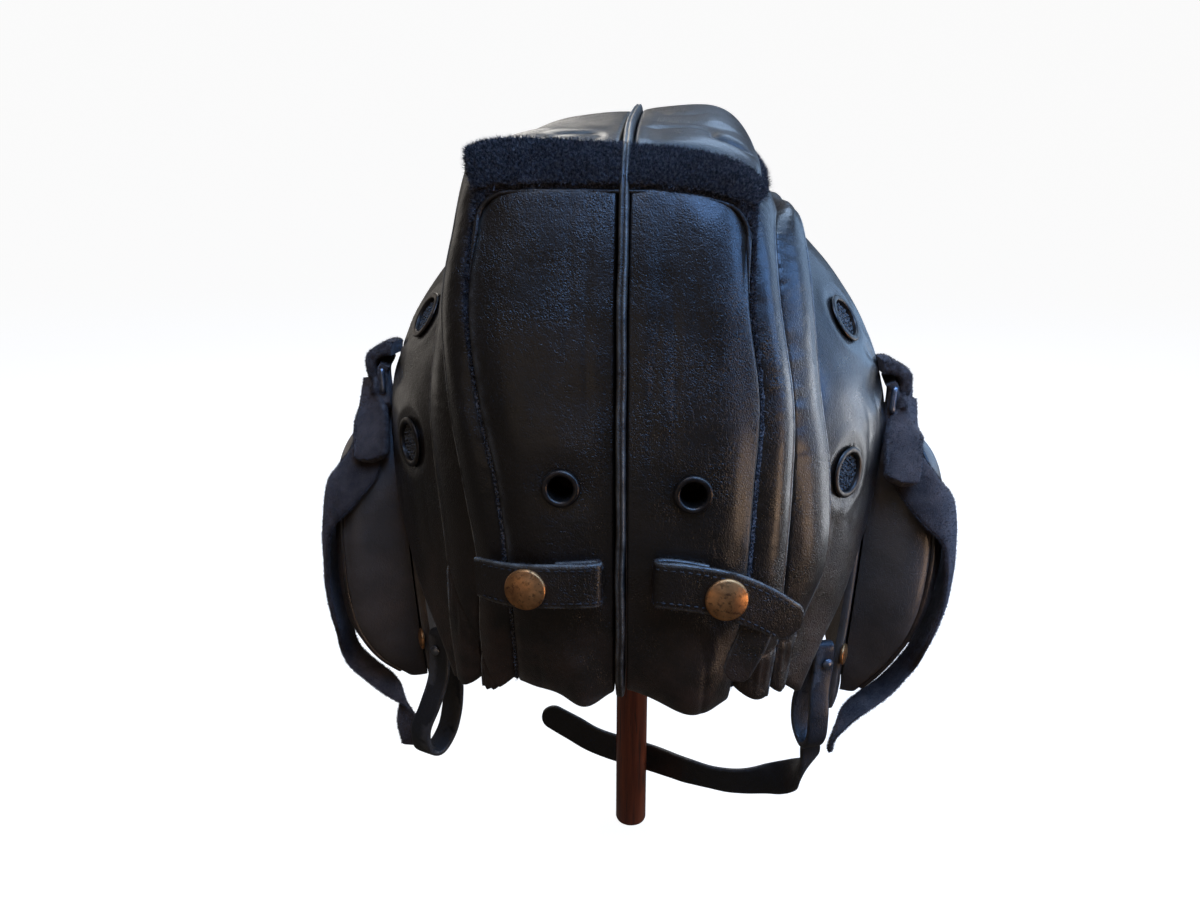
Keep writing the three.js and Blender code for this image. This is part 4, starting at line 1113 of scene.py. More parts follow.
# %% The ridges
FLEECE_GROOVE = 3.4  # width of the fleece strip in its groove
FLEECE_SHOWN = 1.4  # how much of it the first ridge leaves open
BETWEEN = 2.2  # from a crest to the foot behind it
GROOVE_FLOOR, GROOVE_STEP = 1.5, 4.0  # a groove's least height, and how far it lies below its edge
LEAST_CREST, CREST_AT = 2.5, 0.84
SWELL, BEAD = 2.4, 0.35


def ridge_frame(s, ridge, side):
    """Where a ridge starts and ends, and its low, top and foot heights over the shell."""
    crest = crest_point(s, ridge, side)
    top = np.maximum(height_of(crest), LEAST_CREST)
    edge = on_block(s, side + 0 * s) if ridge == 1 else crest_point(s, 1, side)
    reach = FLEECE_SHOWN if ridge == 1 else BETWEEN + GAP
    start = past_point(edge, s, side, reach + 0 * s)
    end = past_point(crest, s, side, BETWEEN + 0 * s)
    low = np.maximum(height_of(edge) - GROOVE_STEP, GROOVE_FLOOR)
    foot = np.maximum(top - GROOVE_STEP, GROOVE_FLOOR) if ridge == 1 else 0.3 + 0 * s
    return start, end, low, top, foot


def ridge_surface(s, v, ridge, side):
    """The height rises from low to top with 1 - (1 - v / crest) to the power 2.4, and falls to the
    foot behind the crest. A half sine before the crest swells it, and a narrow bead runs along the
    crest itself. Also gives how far each point lies beyond the crest."""
    start, end, low, top, foot = ridge_frame(s, ridge, side)
    rising = low + (top - low) * (1 - np.clip(1 - v / CREST_AT, 0, 1) ** 2.4)
    fallen = np.clip((v - CREST_AT) / (1 - CREST_AT), 0, 1)
    height = np.where(v <= CREST_AT, rising, top + (foot - top) * fallen**1.2)
    span = np.linalg.norm(on_shell(end, top) - on_shell(start, low), axis=-1)
    beyond = (v - CREST_AT) * span
    height = height + BEAD * bump(beyond, 0.45)
    height = height + SWELL * np.sin(np.pi * np.clip(v / CREST_AT, 0, 1))
    return on_shell(between(start, end, v), height), beyond


def ridge(ridge_number, side, rows=330, coarse=16, fine=14):
    """A ridge's body: its surface with gathers, padding, folds near the nape, turned edges, and a
    sewn seam across its foot with puckers over it. Columns are closer together at the crest."""
    s = close_at_ends(rows, 0.2)[:, None]
    v = np.r_[np.linspace(0, 0.7, coarse), np.linspace(0.74, 1, fine)][None]
    s, v = np.broadcast_arrays(s, v)
    p, beyond = ridge_surface(s, v, ridge_number, side)
    seed = 100 + 10 * ridge_number + side
    gathers = np.clip(1 - v / 0.75, 0, 1) * np.clip((p[..., 2] + 130) / 60, 0.25, 1)
    along = np.stack([s * MEDIAN_LENGTH, 6 * v, 0 * s], -1)
    lift = 0.4 * gathers * noise(along, (2.2, 3, 1), seed) + padding(p, seed + 3, 0.4)
    to_end = np.minimum(s, 1 - s) * MEDIAN_LENGTH
    low = np.minimum(np.exp(-(p[..., 2] + 175) / 18), 1)
    lift = lift + 0.9 * low * folds(p, (12, 12, 20), seed + 5) * (1 - bump(to_end, 7))
    lift = lift - edge_fall(to_end, 2.5) - edge_fall(beyond - beyond[:, :1], 1.0)
    seam = p[..., 2] + (150 + 2.1 * (p[..., 0] + 62) if side < 0 else 167)
    puckers = np.sin(p[..., 0] * 1.9 + 2 * noise(p, 9, seed + 9))
    lift = lift - bump(seam, 1.1) + 0.5 * bump(seam + 8, 6) * puckers
    # the crest's pale line: rubbed leather, and partly a painted highlight where the sewn edge
    # catches the light
    wear_and_highlight = 1.6 * bump(beyond, 0.4) * np.clip(0.9 + 0.5 * noise(p, 14, seed + 7), 0.4, 1.3)
    return wall(raised(p, lift), inner_of(p)), outer_only(wear_and_highlight)


for name, side in SIDES:
    for number, word in ((1, "inner"), (2, "outer")):
        body, wear_and_highlight = ridge(number, side)
        piece = add_piece(f"{word}_ridge_{name}", body, black_leather, wear_and_highlight)

# %% The fleece in the grooves
SHORT_PILE, LONG_PILE = 1.5, 3.4
WORN_SHARE = 0.06  # of the strands, what is left down the back


def in_groove(s, side, arc):
    """The place on the groove's floor that lies arc beyond the block's edge."""
    edge = on_block(s, side + 0 * s)
    height = np.maximum(height_of(edge) - GROOVE_STEP, GROOVE_FLOOR)
    return on_shell(past_point(edge, s, side, arc), height)


def groove_strip(side, rows=220):
    """The strip's skin, four points wide."""
    s = np.linspace(0, 1, rows)[:, None]
    arc = np.array([[0.7, 1.0, 1.6, FLEECE_GROOVE - GAP]])
    s, arc = np.broadcast_arrays(s, arc)
    outer = in_groove(s, side, arc)
    return wall(outer, inner_of(outer))


def groove_roots(side, count, seed):
    """Random places in the open part of the groove and their strands' length. Below the crown's
    bend only a worn share is kept, and the last tenth before the forehead thins out."""
    random = np.random.default_rng(seed)
    s = random.uniform(0, 1, count)
    roots = in_groove(s, side, random.uniform(0.4, FLEECE_SHOWN + 0.3, count))
    near = np.clip(WORN_SHARE + 0.9 * (s - 0.24) / 0.08, WORN_SHARE, 1)
    kept = random.uniform(0, 1, count) < near * np.clip((1.02 - s) / 0.1, 0, 1)
    longer = np.clip((s[kept] - 0.26) / 0.08, 0, 1)
    return roots[kept], SHORT_PILE + (LONG_PILE - SHORT_PILE) * longer


for number, (name, side) in enumerate(SIDES):
    roots, length = groove_roots(side, GROOVE_STRANDS, 15 + number)
    strands = pile(roots, direction_of(roots), length, 0.32, 0.4, 17 + number)
    add_piece(f"edge_fleece_{name}", join_bodies([groove_strip(side), strands]), black_fleece)
    print("with", len(roots), "strands")

# %% [markdown]
# ## The side panels
#
# The sides are single pieces of leather from the outer ridge to the rim over the ear. Around the
# vents they are pressed in, and soft folds fan out from where the ear strap pulls. The rim is
# turned and rubbed. A shell cut out by a Boolean would have none of this at its rim. The same grid
# idea serves: one parameter runs from nape to forehead and one from the ridge's foot to the rim.
# The vents' holes are deep dips that their rings cover.

# %% Where the vents lie
VENTS = ["upper_left", "lower_left", "upper_right", "lower_right"]
VENT_OPENING, VENT_RIM = 7.0, 9.4
vent_places = {}
for name in VENTS:
    way = direction_of(middle_of(f"vent_ring_{name}"))
    around = unit(np.cross([0, 0, 1], way)) * 0.01
    upward = np.cross(way, around)
    slopes = [on_shell(unit(way + turn), 0.0) - on_shell(unit(way - turn), 0.0)
              for turn in (around, upward)]
    normal = unit(np.cross(*slopes))
    vent_places[name] = (on_shell(way, 0.0), normal * np.sign(normal @ way))
    print("vent", name, "at", np.round(vent_places[name][0], 1), "mm")

# %% The side panels
SIDE_REACH = 105  # millimetres round the shell for each radian, on average
VENT_DIP, VENT_PRESSED, VENT_CLEAR = 2.6, 0.5, 13


def side_surface(s, v, side):
    """The shell along arcs from the outer ridge's foot to the rim, and each arc's angle."""
    start = past_point(crest_point(s, 2, side), s, side, BETWEEN + 1.5 * GAP + 0 * s)
    turn, rise = np.radians(section(s)["turn"]), np.radians(section(s)["rise"])
    rim = point(side * np.sin(turn) * np.cos(rise), -np.cos(turn) * np.cos(rise), np.sin(rise))
    angle = np.arccos(np.clip(dot(start, rim), -1, 1))[..., 0]
    return on_shell(between(start, rim, v), 0 * v), angle


def side_panel(side, rows=190, columns=84):
    """A side: padding, long folds above the rim, nine folds that fan out from the strap's anchor,
    and round each vent a flat seat with a dip for its hole."""
    s, v = np.broadcast_arrays(close_at_ends(rows, 0.3)[:, None],
                               close_at_ends(columns, 0.5)[None])
    p, angle = side_surface(s, v, side)
    span = angle * SIDE_REACH
    to_rim, to_ridge = (1 - v) * span, v * span
    to_end = np.minimum(s, 1 - s) * MEDIAN_LENGTH
    seed = 140 + side
    lift = padding(p, seed, 1.0) + 0.5 * folds(p, (40, 9, 26), seed + 3) * bump(to_rim - 22, 20)
    anchor = middle_of(f"strap_anchor_{SIDE_NAMES[side]}")
    away = np.linalg.norm(p - anchor, axis=-1)
    fan = np.arctan2(p[..., 2] - anchor[2], p[..., 1] - anchor[1])
    lift = lift + 0.7 * bump(away - 20, 17) * np.sin(9 * fan + 2 * noise(p, 20, seed + 5))
    lift = lift * (1 - bump(to_ridge, 3)) * (1 - 0.8 * bump(to_rim, 4))
    for place, _ in vent_places.values():
        reach = np.linalg.norm(p - place, axis=-1)
        hole = np.clip((VENT_OPENING + 0.8 - reach) / 0.6, 0, 1)
        lift = lift * (1 - bump(reach, VENT_CLEAR)) - VENT_PRESSED * bump(reach - 9.5, 2.5)
        lift = lift + 0.35 * bump(reach - 14, 3) - VENT_DIP * hole
    fall = edge_fall(to_rim, 1.4) + edge_fall(to_end, 1.4)
    wear_and_highlight = 0.8 * bump(to_rim - 0.7, 0.9) * np.clip(0.6 + 0.6 * noise(p, 12, seed + 7), 0.1, 1)
    return wall(raised(p, lift - fall), inner_of(p)), outer_only(wear_and_highlight)


for name, side in SIDES:
    body, wear_and_highlight = side_panel(side)
    add_piece(f"side_panel_{name}", body, black_leather, wear_and_highlight)

# %% [markdown]
# ## Vents and eyelets
#
# Both are pressed metal rings: a flange that rolls over on its outside, and a barrel that goes
# through the leather. A lathe profile turned about the leather's own normal is the natural way,
# and a Screw modifier would do the same less exactly. The vents hold a plain weave of coarse
# threads, each a cord that goes over and under its neighbours as a sine. Behind each eyelet's hole
# lies a disc of the dark lining, so that no light shines through the empty helmet.

# %% Rings and woven vents
def ring_profile(opening, outer, thick, barrel, steps=7):
    """Radius and height of a rolled flange: a half round from the opening to the rim, a short lip
    under it and the barrel's two walls."""
    a = np.linspace(0, np.pi, steps)
    middle, half = (opening + outer) / 2, (outer - opening) / 2
    roll = np.stack([middle - half * np.cos(a), 0.2 + thick * np.sin(a) ** 0.8], -1)
    hole = opening + 0.5
    return np.concatenate([[[opening, -barrel]], roll, [[outer - 0.3, -0.2], [hole, -0.2],
                                                       [hole, -barrel]]])


def ring_body(profile, centre, axis, segments):
    """The profile as a closed hoop: the rings of the lathe are joined back to the first one."""
    return loft(turned_body(profile, centre, axis, segments).transpose(1, 0, 2), looped=True)


def woven_disc(centre, axis, radius, pitch=1.25, thread_radius=0.36):
    """Two sets of threads across a round opening. Each is a line whose height is a sine, and the
    two sets are half a wave apart."""
    axis = unit(axis)
    first = unit(np.cross(axis, [0.31, 0.52, 0.79]))
    second = np.cross(axis, first)
    rows = np.arange(-radius + pitch / 2, radius, pitch)
    bodies = []
    for way, across, phase in ((first, second, 0), (second, first, np.pi)):
        for number, row in enumerate(rows):
            reach = math.sqrt(max(radius**2 - row**2, 0.2))
            x = np.linspace(-reach, reach, max(int(3 * reach / pitch), 6))
            wave = 0.3 * np.sin(np.pi * (x - rows[0]) / pitch + np.pi * number + phase + np.pi / 2)
            line = centre + x[:, None] * way + row * across + wave[:, None] * axis
            bodies.append(tube(line, thread_radius, 5))
    return join_bodies(bodies)


MESH_DEPTH = 1.1
EYELET_OPENING, EYELET_RIM, EYELET_PROUD = 4.05, 6.2, 1.9
LINING_DEPTH, LINING_RADIUS, LINING_HALF = 1.6, 12, 0.5
AXIS = 0.02  # the least radius of a lathe profile, so that its ends close
for name in VENTS:
    place, axis = vent_places[name]
    ring = ring_body(ring_profile(VENT_OPENING, VENT_RIM, 0.65, 2.4), place, axis, 56)
    add_piece(f"vent_ring_{name}", ring, dark_metal)
    weave = woven_disc(place - MESH_DEPTH * axis, axis, VENT_OPENING - 0.1)
    add_piece(f"vent_mesh_{name}", weave, mesh_thread)
for name, side in SIDES:
    seat = middle_of(f"nape_eyelet_{name}")
    axis = out_of_back(seat)
    centre = seat + EYELET_PROUD * axis
    ring = ring_body(ring_profile(EYELET_OPENING, EYELET_RIM, 1.1, 5.2), centre, axis, 48)
    add_piece(f"nape_eyelet_{name}", ring, dark_metal)
    inside = inner_of(seat) - LINING_DEPTH * axis
    disc = [[AXIS, LINING_HALF], [LINING_RADIUS, LINING_HALF],
            [LINING_RADIUS, -LINING_HALF], [AXIS, -LINING_HALF]]
    patch = turned_body(disc, inside, axis, 32)
    add_piece(f"eyelet_lining_{name}", loft(patch), black_suede)

# %% [markdown]
# ## The ear flaps and cups
#
# A flap of thin leather hangs inside each side panel's rim and carries the ear cup. The cup is a
# rounded box: a flat gusset stands up from the flap, and an outer face is sewn to it with piping
# in the seam. A bevelled cube would give it straight sides. Its section here is a superellipse,
# which has flat walls and round corners, and a table gives its edges and depth down its height.

# %% The cup's table and surface
cup = smooth_table(["z", "rear", "front", "left", "right", "hem"], [
    [-101, 84, 100, 3, 3, 2.2],
    [-106, 79, 108, 11, 11, 2.2],
    [-117, 74.5, 113, 21, 21, 2.2],
    [-131, 71.5, 115, 26, 26, 2.2],
    [-150, 70, 116, 28.5, 28.5, 2.2],
    [-165, 69.5, 115, 29.5, 28.5, 2.4],
    [-180, 69.5, 112, 29.5, 26.5, 3.5],
    [-195, 70, 106, 27, 21.5, 5],
    [-209, 71, 98, 19, 13, 6],
    [-220, 73, 86, 6, 4, 7],
])
FLAP_LIFT, LEATHER = -3.8, 2.5  # the flap's height over the shell, and its thickness
FLAP_FRONT, FLAP_TOP, FLAP_FOOT = 2.2, 18.0, 3.5  # how far it goes beyond the cup each way
CUP_FLOOR = FLAP_LIFT + 2 * GAP
SQUARENESS = 2 / 4.5
SEAM, SEAM_TOP, SEAM_TIP = 0.235, 0.045, 0.965  # where the piping runs, as v and t


def on_cup(name, side, t, v, grown=0.0):
    """The cup's outer surface, t from its top to its tip and v from its rear edge to its front. The
    angle pi v is carried to a superellipse: the signed power 4 / 9 of its cosine and sine."""
    t, v = np.broadcast_arrays(t, v)
    a = np.pi * v
    cosine = np.cos(a)
    level = -np.sign(cosine) * np.abs(cosine) ** SQUARENESS
    row = cup(t)
    depth = row[name] + grown - CUP_FLOOR
    out = CUP_FLOOR + 0.3 + depth * np.clip(np.sin(a), 0, 1) ** SQUARENESS
    wider = np.degrees(grown / HALF)
    rear, front = row["rear"] - wider, row["front"] + wider
    return on_ring(side, rear + (front - rear) * (level + 1) / 2, row["z"], out)


def ear_cup(name, side, rows=110, columns=76, floor_columns=12):
    """The cup as rings down its height, each round its outer surface and back along its floor,
    with soft dents on the outside."""
    t = close_at_ends(rows, 0.5)[:, None]
    roof = on_cup(name, side, t, close_at_ends(columns, 0.3)[None])
    row = cup(t)
    share = np.linspace(0.94, 0.06, floor_columns)[None]
    turn = row["rear"] + (row["front"] - row["rear"]) * share
    floor = on_ring(side, turn, row["z"] + 0 * share, CUP_FLOOR + 0 * turn)
    rings = np.concatenate([roof, floor], axis=1)
    outward = unit(rings - rings.mean(axis=(0, 1)))
    seed = 180 + side
    soft = 0.7 * noise(rings, 30, seed) + 0.5 * folds(rings, (14, 14, 30), seed + 2)
    soft[:, columns:] = 0
    rings = rings + outward * soft[..., None]
    rub = 0.5 * bump(np.linspace(0, 1, columns) - 0.25, 0.015)
    wear_and_highlight = np.r_[rub, np.zeros(floor_columns)][None] + 0 * t
    return loft(rings), np.r_[wear_and_highlight.ravel(), 0, 0]


print("deepest point of a cup:", np.round(on_cup("left", -1, 0.5, 0.5), 1), "mm")


# %% The flaps, the cups and their piping
def cup_piping(name, side):
    """The seam between gusset and outer face, as one closed line down one corner and up the
    other."""
    t = np.linspace(SEAM_TOP, SEAM_TIP, 90)
    rear = on_cup(name, side, t, SEAM)
    front = on_cup(name, side, t[::-1], 1 - SEAM)
    turn = np.linspace(SEAM, 1 - SEAM, 16)[1:-1]
    foot = on_cup(name, side, SEAM_TIP + 0 * turn, turn)
    head = on_cup(name, side, SEAM_TOP + 0 * turn, turn[::-1])
    return np.concatenate([rear, foot, front, head])


def ear_flap(side, rows=90, columns=60):
    """The flap: t runs down it and v from rear to front, a little beyond the cup all round. Its
    edge is turned over a cord, with a sewn line inside it."""
    t = close_at_ends(rows, 0.4)[:, None]
    v = close_at_ends(columns, 0.6)[None]
    row = cup(t)
    z = row["z"] + FLAP_TOP + (-FLAP_FOOT - FLAP_TOP) * np.minimum(3 * t, 1) + 0 * v
    rear, front = row["rear"] - row["hem"], row["front"] + FLAP_FRONT
    turn = rear + (front - rear) * v
    seed = 190 + side
    span = np.radians(front - rear) * HALF
    rim = np.minimum(np.minimum(v, 1 - v) * span, (1 - t) * 120 + 0 * v)
    p = on_ring(side, turn, z, FLAP_LIFT + 0 * z)
    lift = 0.4 * noise(p, 16, seed) * (1 - bump(rim, 4)) - edge_fall(rim, 1.1)
    lift = lift + 0.55 * bump(rim - 1.3, 0.8) - 0.3 * bump(rim - 3.1, 0.7)
    lift = lift + 0.45 * bump(rim - 4.9, 0.9)
    outer = on_ring(side, turn, z, FLAP_LIFT + lift)
    inner = on_ring(side, turn, z, FLAP_LIFT - LEATHER + 0 * z)
    return wall(outer, inner), outer_only(0.9 * bump(rim - 1.3, 0.7))


for name, side in SIDES:
    body, wear_and_highlight = ear_flap(side)
    add_piece(f"ear_flap_{name}", body, ear_leather, wear_and_highlight)
    body, wear_and_highlight = ear_cup(name, side)
    piece = add_piece(f"ear_cup_{name}", body, ear_leather, wear_and_highlight)
    body = tube(cup_piping(name, side), 1.05, 8, closed=True)
    add_piece(f"cup_piping_{name}", body, black_leather)

# %% [markdown]
# ## Straps, tabs and loops
#
# Every strap is a flat strip of leather or suede with slightly rounded edges. A curve with a flat
# bevel twists at bends. So each strap is a table of places, widths and width directions, and a
# rounded box section is carried along it. A tab is one strip that is folded back on itself.

# %% Straps along a path
STRAP_COLUMNS = ["x", "y", "z", "wide", "wx", "wy", "wz"]
STRAP_AROUND = 20  # points round a strap's section


def signed_power(values, power):
    """Each value's size to that power, with its own sign."""
    return np.sign(values) * np.abs(values) ** power


def strap_rings(line, across, face, wide, thick, squareness=0.35):
    """A rounded box carried along a line, as a superellipse of that power, and the rub on its
    edges: wide and thick are one number or one for each point."""
    a = np.linspace(0, 2 * np.pi, STRAP_AROUND, endpoint=False)
    box_wide = signed_power(np.cos(a), squareness) / 2
    box_thick = signed_power(np.sin(a), squareness) / 2
    wide = np.broadcast_to(wide, len(line))[:, None, None]
    rings = (line[:, None] + across[:, None] * (box_wide[None, :, None] * wide)
             + face[:, None] * box_thick[None, :, None] * thick)
    rub = np.clip((np.abs(box_wide) - 0.42) / 0.08, 0, 1)[None] * np.ones((len(line), 1))
    return rings, rub


def strap(rows, thick, steps=90, round_end=0.0, seed=0, ripple=0.25):
    """A strip along a table of places. round_end is the length in which its last end narrows on a
    half round. ripple is how unevenly it lies."""
    path = smooth_table(STRAP_COLUMNS, rows)
    t = np.linspace(0, 1, steps)
    here = path(t)
    line = point(here["x"], here["y"], here["z"])
    walked = np.r_[0, np.cumsum(np.linalg.norm(np.diff(line, axis=0), axis=-1))]
    along = unit(np.gradient(line, axis=0))
    across = point(here["wx"], here["wy"], here["wz"])
    across = unit(across - dot(across, along) * along)
    face = np.cross(along, across)
    wide = here["wide"]
    if round_end:
        left = np.clip((walked[-1] - walked) / round_end, 0.002, 1)
        wide = wide * np.sqrt(1 - (1 - left) ** 2)
    rings, rub = strap_rings(line, across, face, wide, thick)
    wave = ripple * noise(rings, 9, 200 + seed)
    rings = rings + face[:, None] * wave[..., None]
    return loft(rings), np.r_[rub.ravel(), 0, 0], line, face, across


def fuzz(rings, count, length, width, seed, edges=()):
    """Short fibres on a strap: spikes at random places of its rings, square to its surface. If
    columns are named as its edges, half of the fibres stand there."""
    random = np.random.default_rng(seed)
    rows, around = rings.shape[:2]
    normal = unit(np.cross(np.gradient(rings, axis=0),
                           np.roll(rings, -1, axis=1) - np.roll(rings, 1, axis=1)))
    normal = normal * np.sign(dot(normal, rings - rings.mean(axis=1, keepdims=True)))
    row, column = random.uniform(0, rows - 1.001, count), random.uniform(0, around, count)
    if edges:
        half = count // 2
        column[:half] = random.choice(edges, half) + random.uniform(-0.5, 0.5, half)
    i, j = row.astype(int), np.floor(column).astype(int)
    f, g = (row - i)[:, None], (column - j)[:, None]

    def read(grid):
        corners = [grid[i + a, (j + b) % around] for a in (0, 1) for b in (0, 1)]
        weights = [(1 - f) * (1 - g), (1 - f) * g, f * (1 - g), f * g]
        return sum(corner * weight for corner, weight in zip(corners, weights))

    roots, way = read(rings), unit(read(normal))
    clumps = np.stack([noise(roots, 2.5, seed + axis) for axis in range(3)], -1)
    return pile(roots - 0.15 * way, way + 0.5 * clumps, length, width, 0.6, seed)


def rings_of(body):
    """The rings that a strap was made from, without its two end points."""
    points = body[0]
    return points[: len(points) // STRAP_AROUND * STRAP_AROUND].reshape(-1, STRAP_AROUND, 3)


# %% The nape tabs
TAB_THICK, UNDER_THICK = 1.9, 2.2
TAB_EDGES, TAB_FIBRES = (0, STRAP_AROUND // 2), 1500
tabs = {
    "nape_tab_left": (0.0, [
        [-20, -113.4, -136.5, 14.0, 0, 0, 1],
        [-12, -113.6, -135.9, 14.2, 0, 0, 1],
        [-7.6, -114.2, -135.5, 14.4, 0, 0, 1],
        [-6.2, -115.8, -135.3, 14.6, 0, 0, 1],
        [-7.8, -117.5, -135.3, 14.7, 0, 0, 1],
        [-14, -117.9, -135.7, 14.7, 0, 0, 1],
        [-29.6, -116.6, -136.6, 14.7, 0, 0, 1],
        [-39, -113.2, -137.2, 14.4, 0, 0, 1],
        [-47.5, -107.2, -137.9, 13.6, 0, 0, 1]]),
    "nape_tab_right": (6.0, [
        [27, -113.6, -136.2, 15, 0, 0, 1],
        [19, -113.8, -134.8, 15, 0, 0, 1],
        [13.4, -114.2, -134.4, 15, 0, 0, 1],
        [11.6, -116.0, -134.3, 15, 0, 0, 1],
        [13.4, -117.9, -134.3, 15.2, 0, 0, 1],
        [21, -118.3, -134.7, 15.5, 0, 0, 1],
        [34, -116.9, -137.3, 15.5, 0.1, 0, 1],
        [45, -114.6, -142.4, 15, 0.2, 0, 1],
        [52.5, -111.8, -147.4, 14, 0.3, 0, 1],
        [58, -108.5, -151.3, 12.5, 0.35, 0, 1]]),
}
tab_lines = {}
for number, (name, (round_end, rows)) in enumerate(tabs.items()):
    body, wear_and_highlight, line, face, across = strap(rows, TAB_THICK, 130, round_end, number)
    fibres = fuzz(rings_of(body), TAB_FIBRES, 0.9, 0.16, 300 + number, TAB_EDGES)
    add_piece(name, body, black_leather, 0.8 * wear_and_highlight)
    add_piece(f"{name}_fray", fibres, black_suede)
    tab_lines[name] = (line, face, across)
under_rows = [[45, -112.4, -147, 10.5, 1, 0, 0.3], [43, -112.6, -154, 10.5, 1, 0, 0.3],
              [40, -113.4, -161, 10, 1, 0, 0.3], [37, -114, -168.5, 8.5, 1, 0, 0.3]]
body, wear_and_highlight, *_ = strap(under_rows, UNDER_THICK, 50, 4.0, 3)
add_piece("nape_under_strap", body, black_leather, 0.5 * wear_and_highlight)

# %% The ear straps
strap_on_cup = smooth_table(["t1", "v1", "t2", "v2", "left", "right"], [
    [0.20, 0.020, 0.10, 0.100, 1.2, 1.2],
    [0.29, 0.024, 0.16, 0.136, 1.4, 1.4],
    [0.338, 0.060, 0.218, 0.190, 1.6, 1.6],
    [0.372, 0.110, 0.28, 0.274, 1.9, 1.9],
    [0.40, 0.180, 0.33, 0.370, 2.2, 2.2],
    [0.43, 0.255, 0.385, 0.440, 2.5, 2.5],
    [0.50, 0.300, 0.47, 0.485, 3.0, 3.0],
    [0.59, 0.330, 0.57, 0.500, 3.3, 3.6],
    [0.68, 0.345, 0.67, 0.505, 3.8, 4.4],
    [0.77, 0.360, 0.76, 0.505, 4.5, 5.5],
])
strap_tails = {
    "left": [
        [-133, -13, -206, 14, 0.1, 1, 0.3],
        [-126.9, -16, -217.8, 13, 0.1, 1, 0.3],
        [-119.4, -19, -223, 13, 0, 1, 0.3],
        [-108, -25, -227, 13, 0, 1, 0.3],
        [-100, -30, -231, 13, -0.5, 1, 0],
        [-97.5, -34, -240, 12, -1, 0.3, 0],
        [-97, -35, -250, 7, -1, 0, 0],
    ],
    "right": [
        [126.6, -13, -205, 14, 0, 1, 0.3],
        [118.8, -16, -213.5, 13, 0, 1, 0.3],
        [110.5, -20, -221, 13, 0, 1, 0.3],
        [99.3, -26, -226.5, 13, 0, 1, 0.3],
        [92.2, -30, -231, 12, 0, 1, 0.2],
        [88, -33, -238, 10, 0.3, 1, 0],
        [86.8, -34, -244, 5, 0.3, 1, 0],
    ],
}


tail = np.array(strap_tails["left"])[:, :3]
walk = np.linalg.norm(np.diff(tail, axis=0), axis=-1).sum()
print("left ear strap's free tail:", round(walk), "mm long")

# %% The straps' surface, with its nap
EAR_STRAP_HALF = 1.0  # half its thickness
JOIN_SKIP, JOIN_PASSES = 3, 10  # tail rows left out at the join, and how often rows are blended


def ear_strap(name, side, rows=110, columns=22):
    """The strap's middle surface: on the cup for its upper part, then along the tail's table. The
    two are joined by blending their rows, and the strip has a thickness to both sides of it."""
    w = np.linspace(0, 1, columns)[None]
    t = np.linspace(0, 1, rows)[:, None]
    row = strap_on_cup(t)
    upper = on_cup(name, side, row["t1"] + (row["t2"] - row["t1"]) * w,
                   row["v1"] + (row["v2"] - row["v1"]) * w**1.6, row[name] + EAR_STRAP_HALF)
    here = smooth_table(STRAP_COLUMNS, strap_tails[name])(np.linspace(0, 1, 70))
    line = point(here["x"], here["y"], here["z"])
    across = unit(point(here["wx"], here["wy"], here["wz"]))
    share = (w[0] - 0.5)[None, :, None] * here["wide"][:, None, None]
    lower = line[:, None] + across[:, None] * share
    middle = np.concatenate([upper, lower[JOIN_SKIP:]])
    for _ in range(JOIN_PASSES):
        middle[1:-1] = (middle[:-2] + 2 * middle[1:-1] + middle[2:]) / 4
    along, wide = np.gradient(middle, axis=0), np.gradient(middle, axis=1)
    normal = unit(np.cross(along, wide))
    normal = normal * np.sign(np.sum(normal[rows // 2] * direction_of(middle[rows // 2])))
    edge = np.sqrt(1 - np.clip(np.abs(2 * w - 1), 0, 0.995) ** 6)[..., None]
    wave = 0.4 * noise(middle, 11, 230 + side)[..., None]
    outer = middle + normal * (EAR_STRAP_HALF * edge + wave)
    inner = middle - normal * (EAR_STRAP_HALF * edge - wave)
    rub = (np.clip((np.abs(2 * w - 1) - 0.9) / 0.1, 0, 1) + 0 * middle[..., 0]).ravel()
    rings = np.concatenate([outer, inner[:, ::-1]], axis=1)
    return wall(outer, inner), np.concatenate([rub, rub]), rings


NAP_WIDTH, STRAP_NAP, ANCHOR_NAP = 0.24, 12000, 4000
for name, side in SIDES:
    body, wear_and_highlight, rings = ear_strap(name, side)
    around = rings.shape[1]
    edges = (0, around // 2 - 1, around // 2, around - 1)
    nap = fuzz(rings, STRAP_NAP, 1.1, NAP_WIDTH, 310 + side, edges)
    wear_and_highlight = np.concatenate([wear_and_highlight, np.zeros(len(nap[0]))])
    body = join_bodies([body, nap])
    add_piece(f"ear_strap_{name}", body, black_suede, wear_and_highlight)

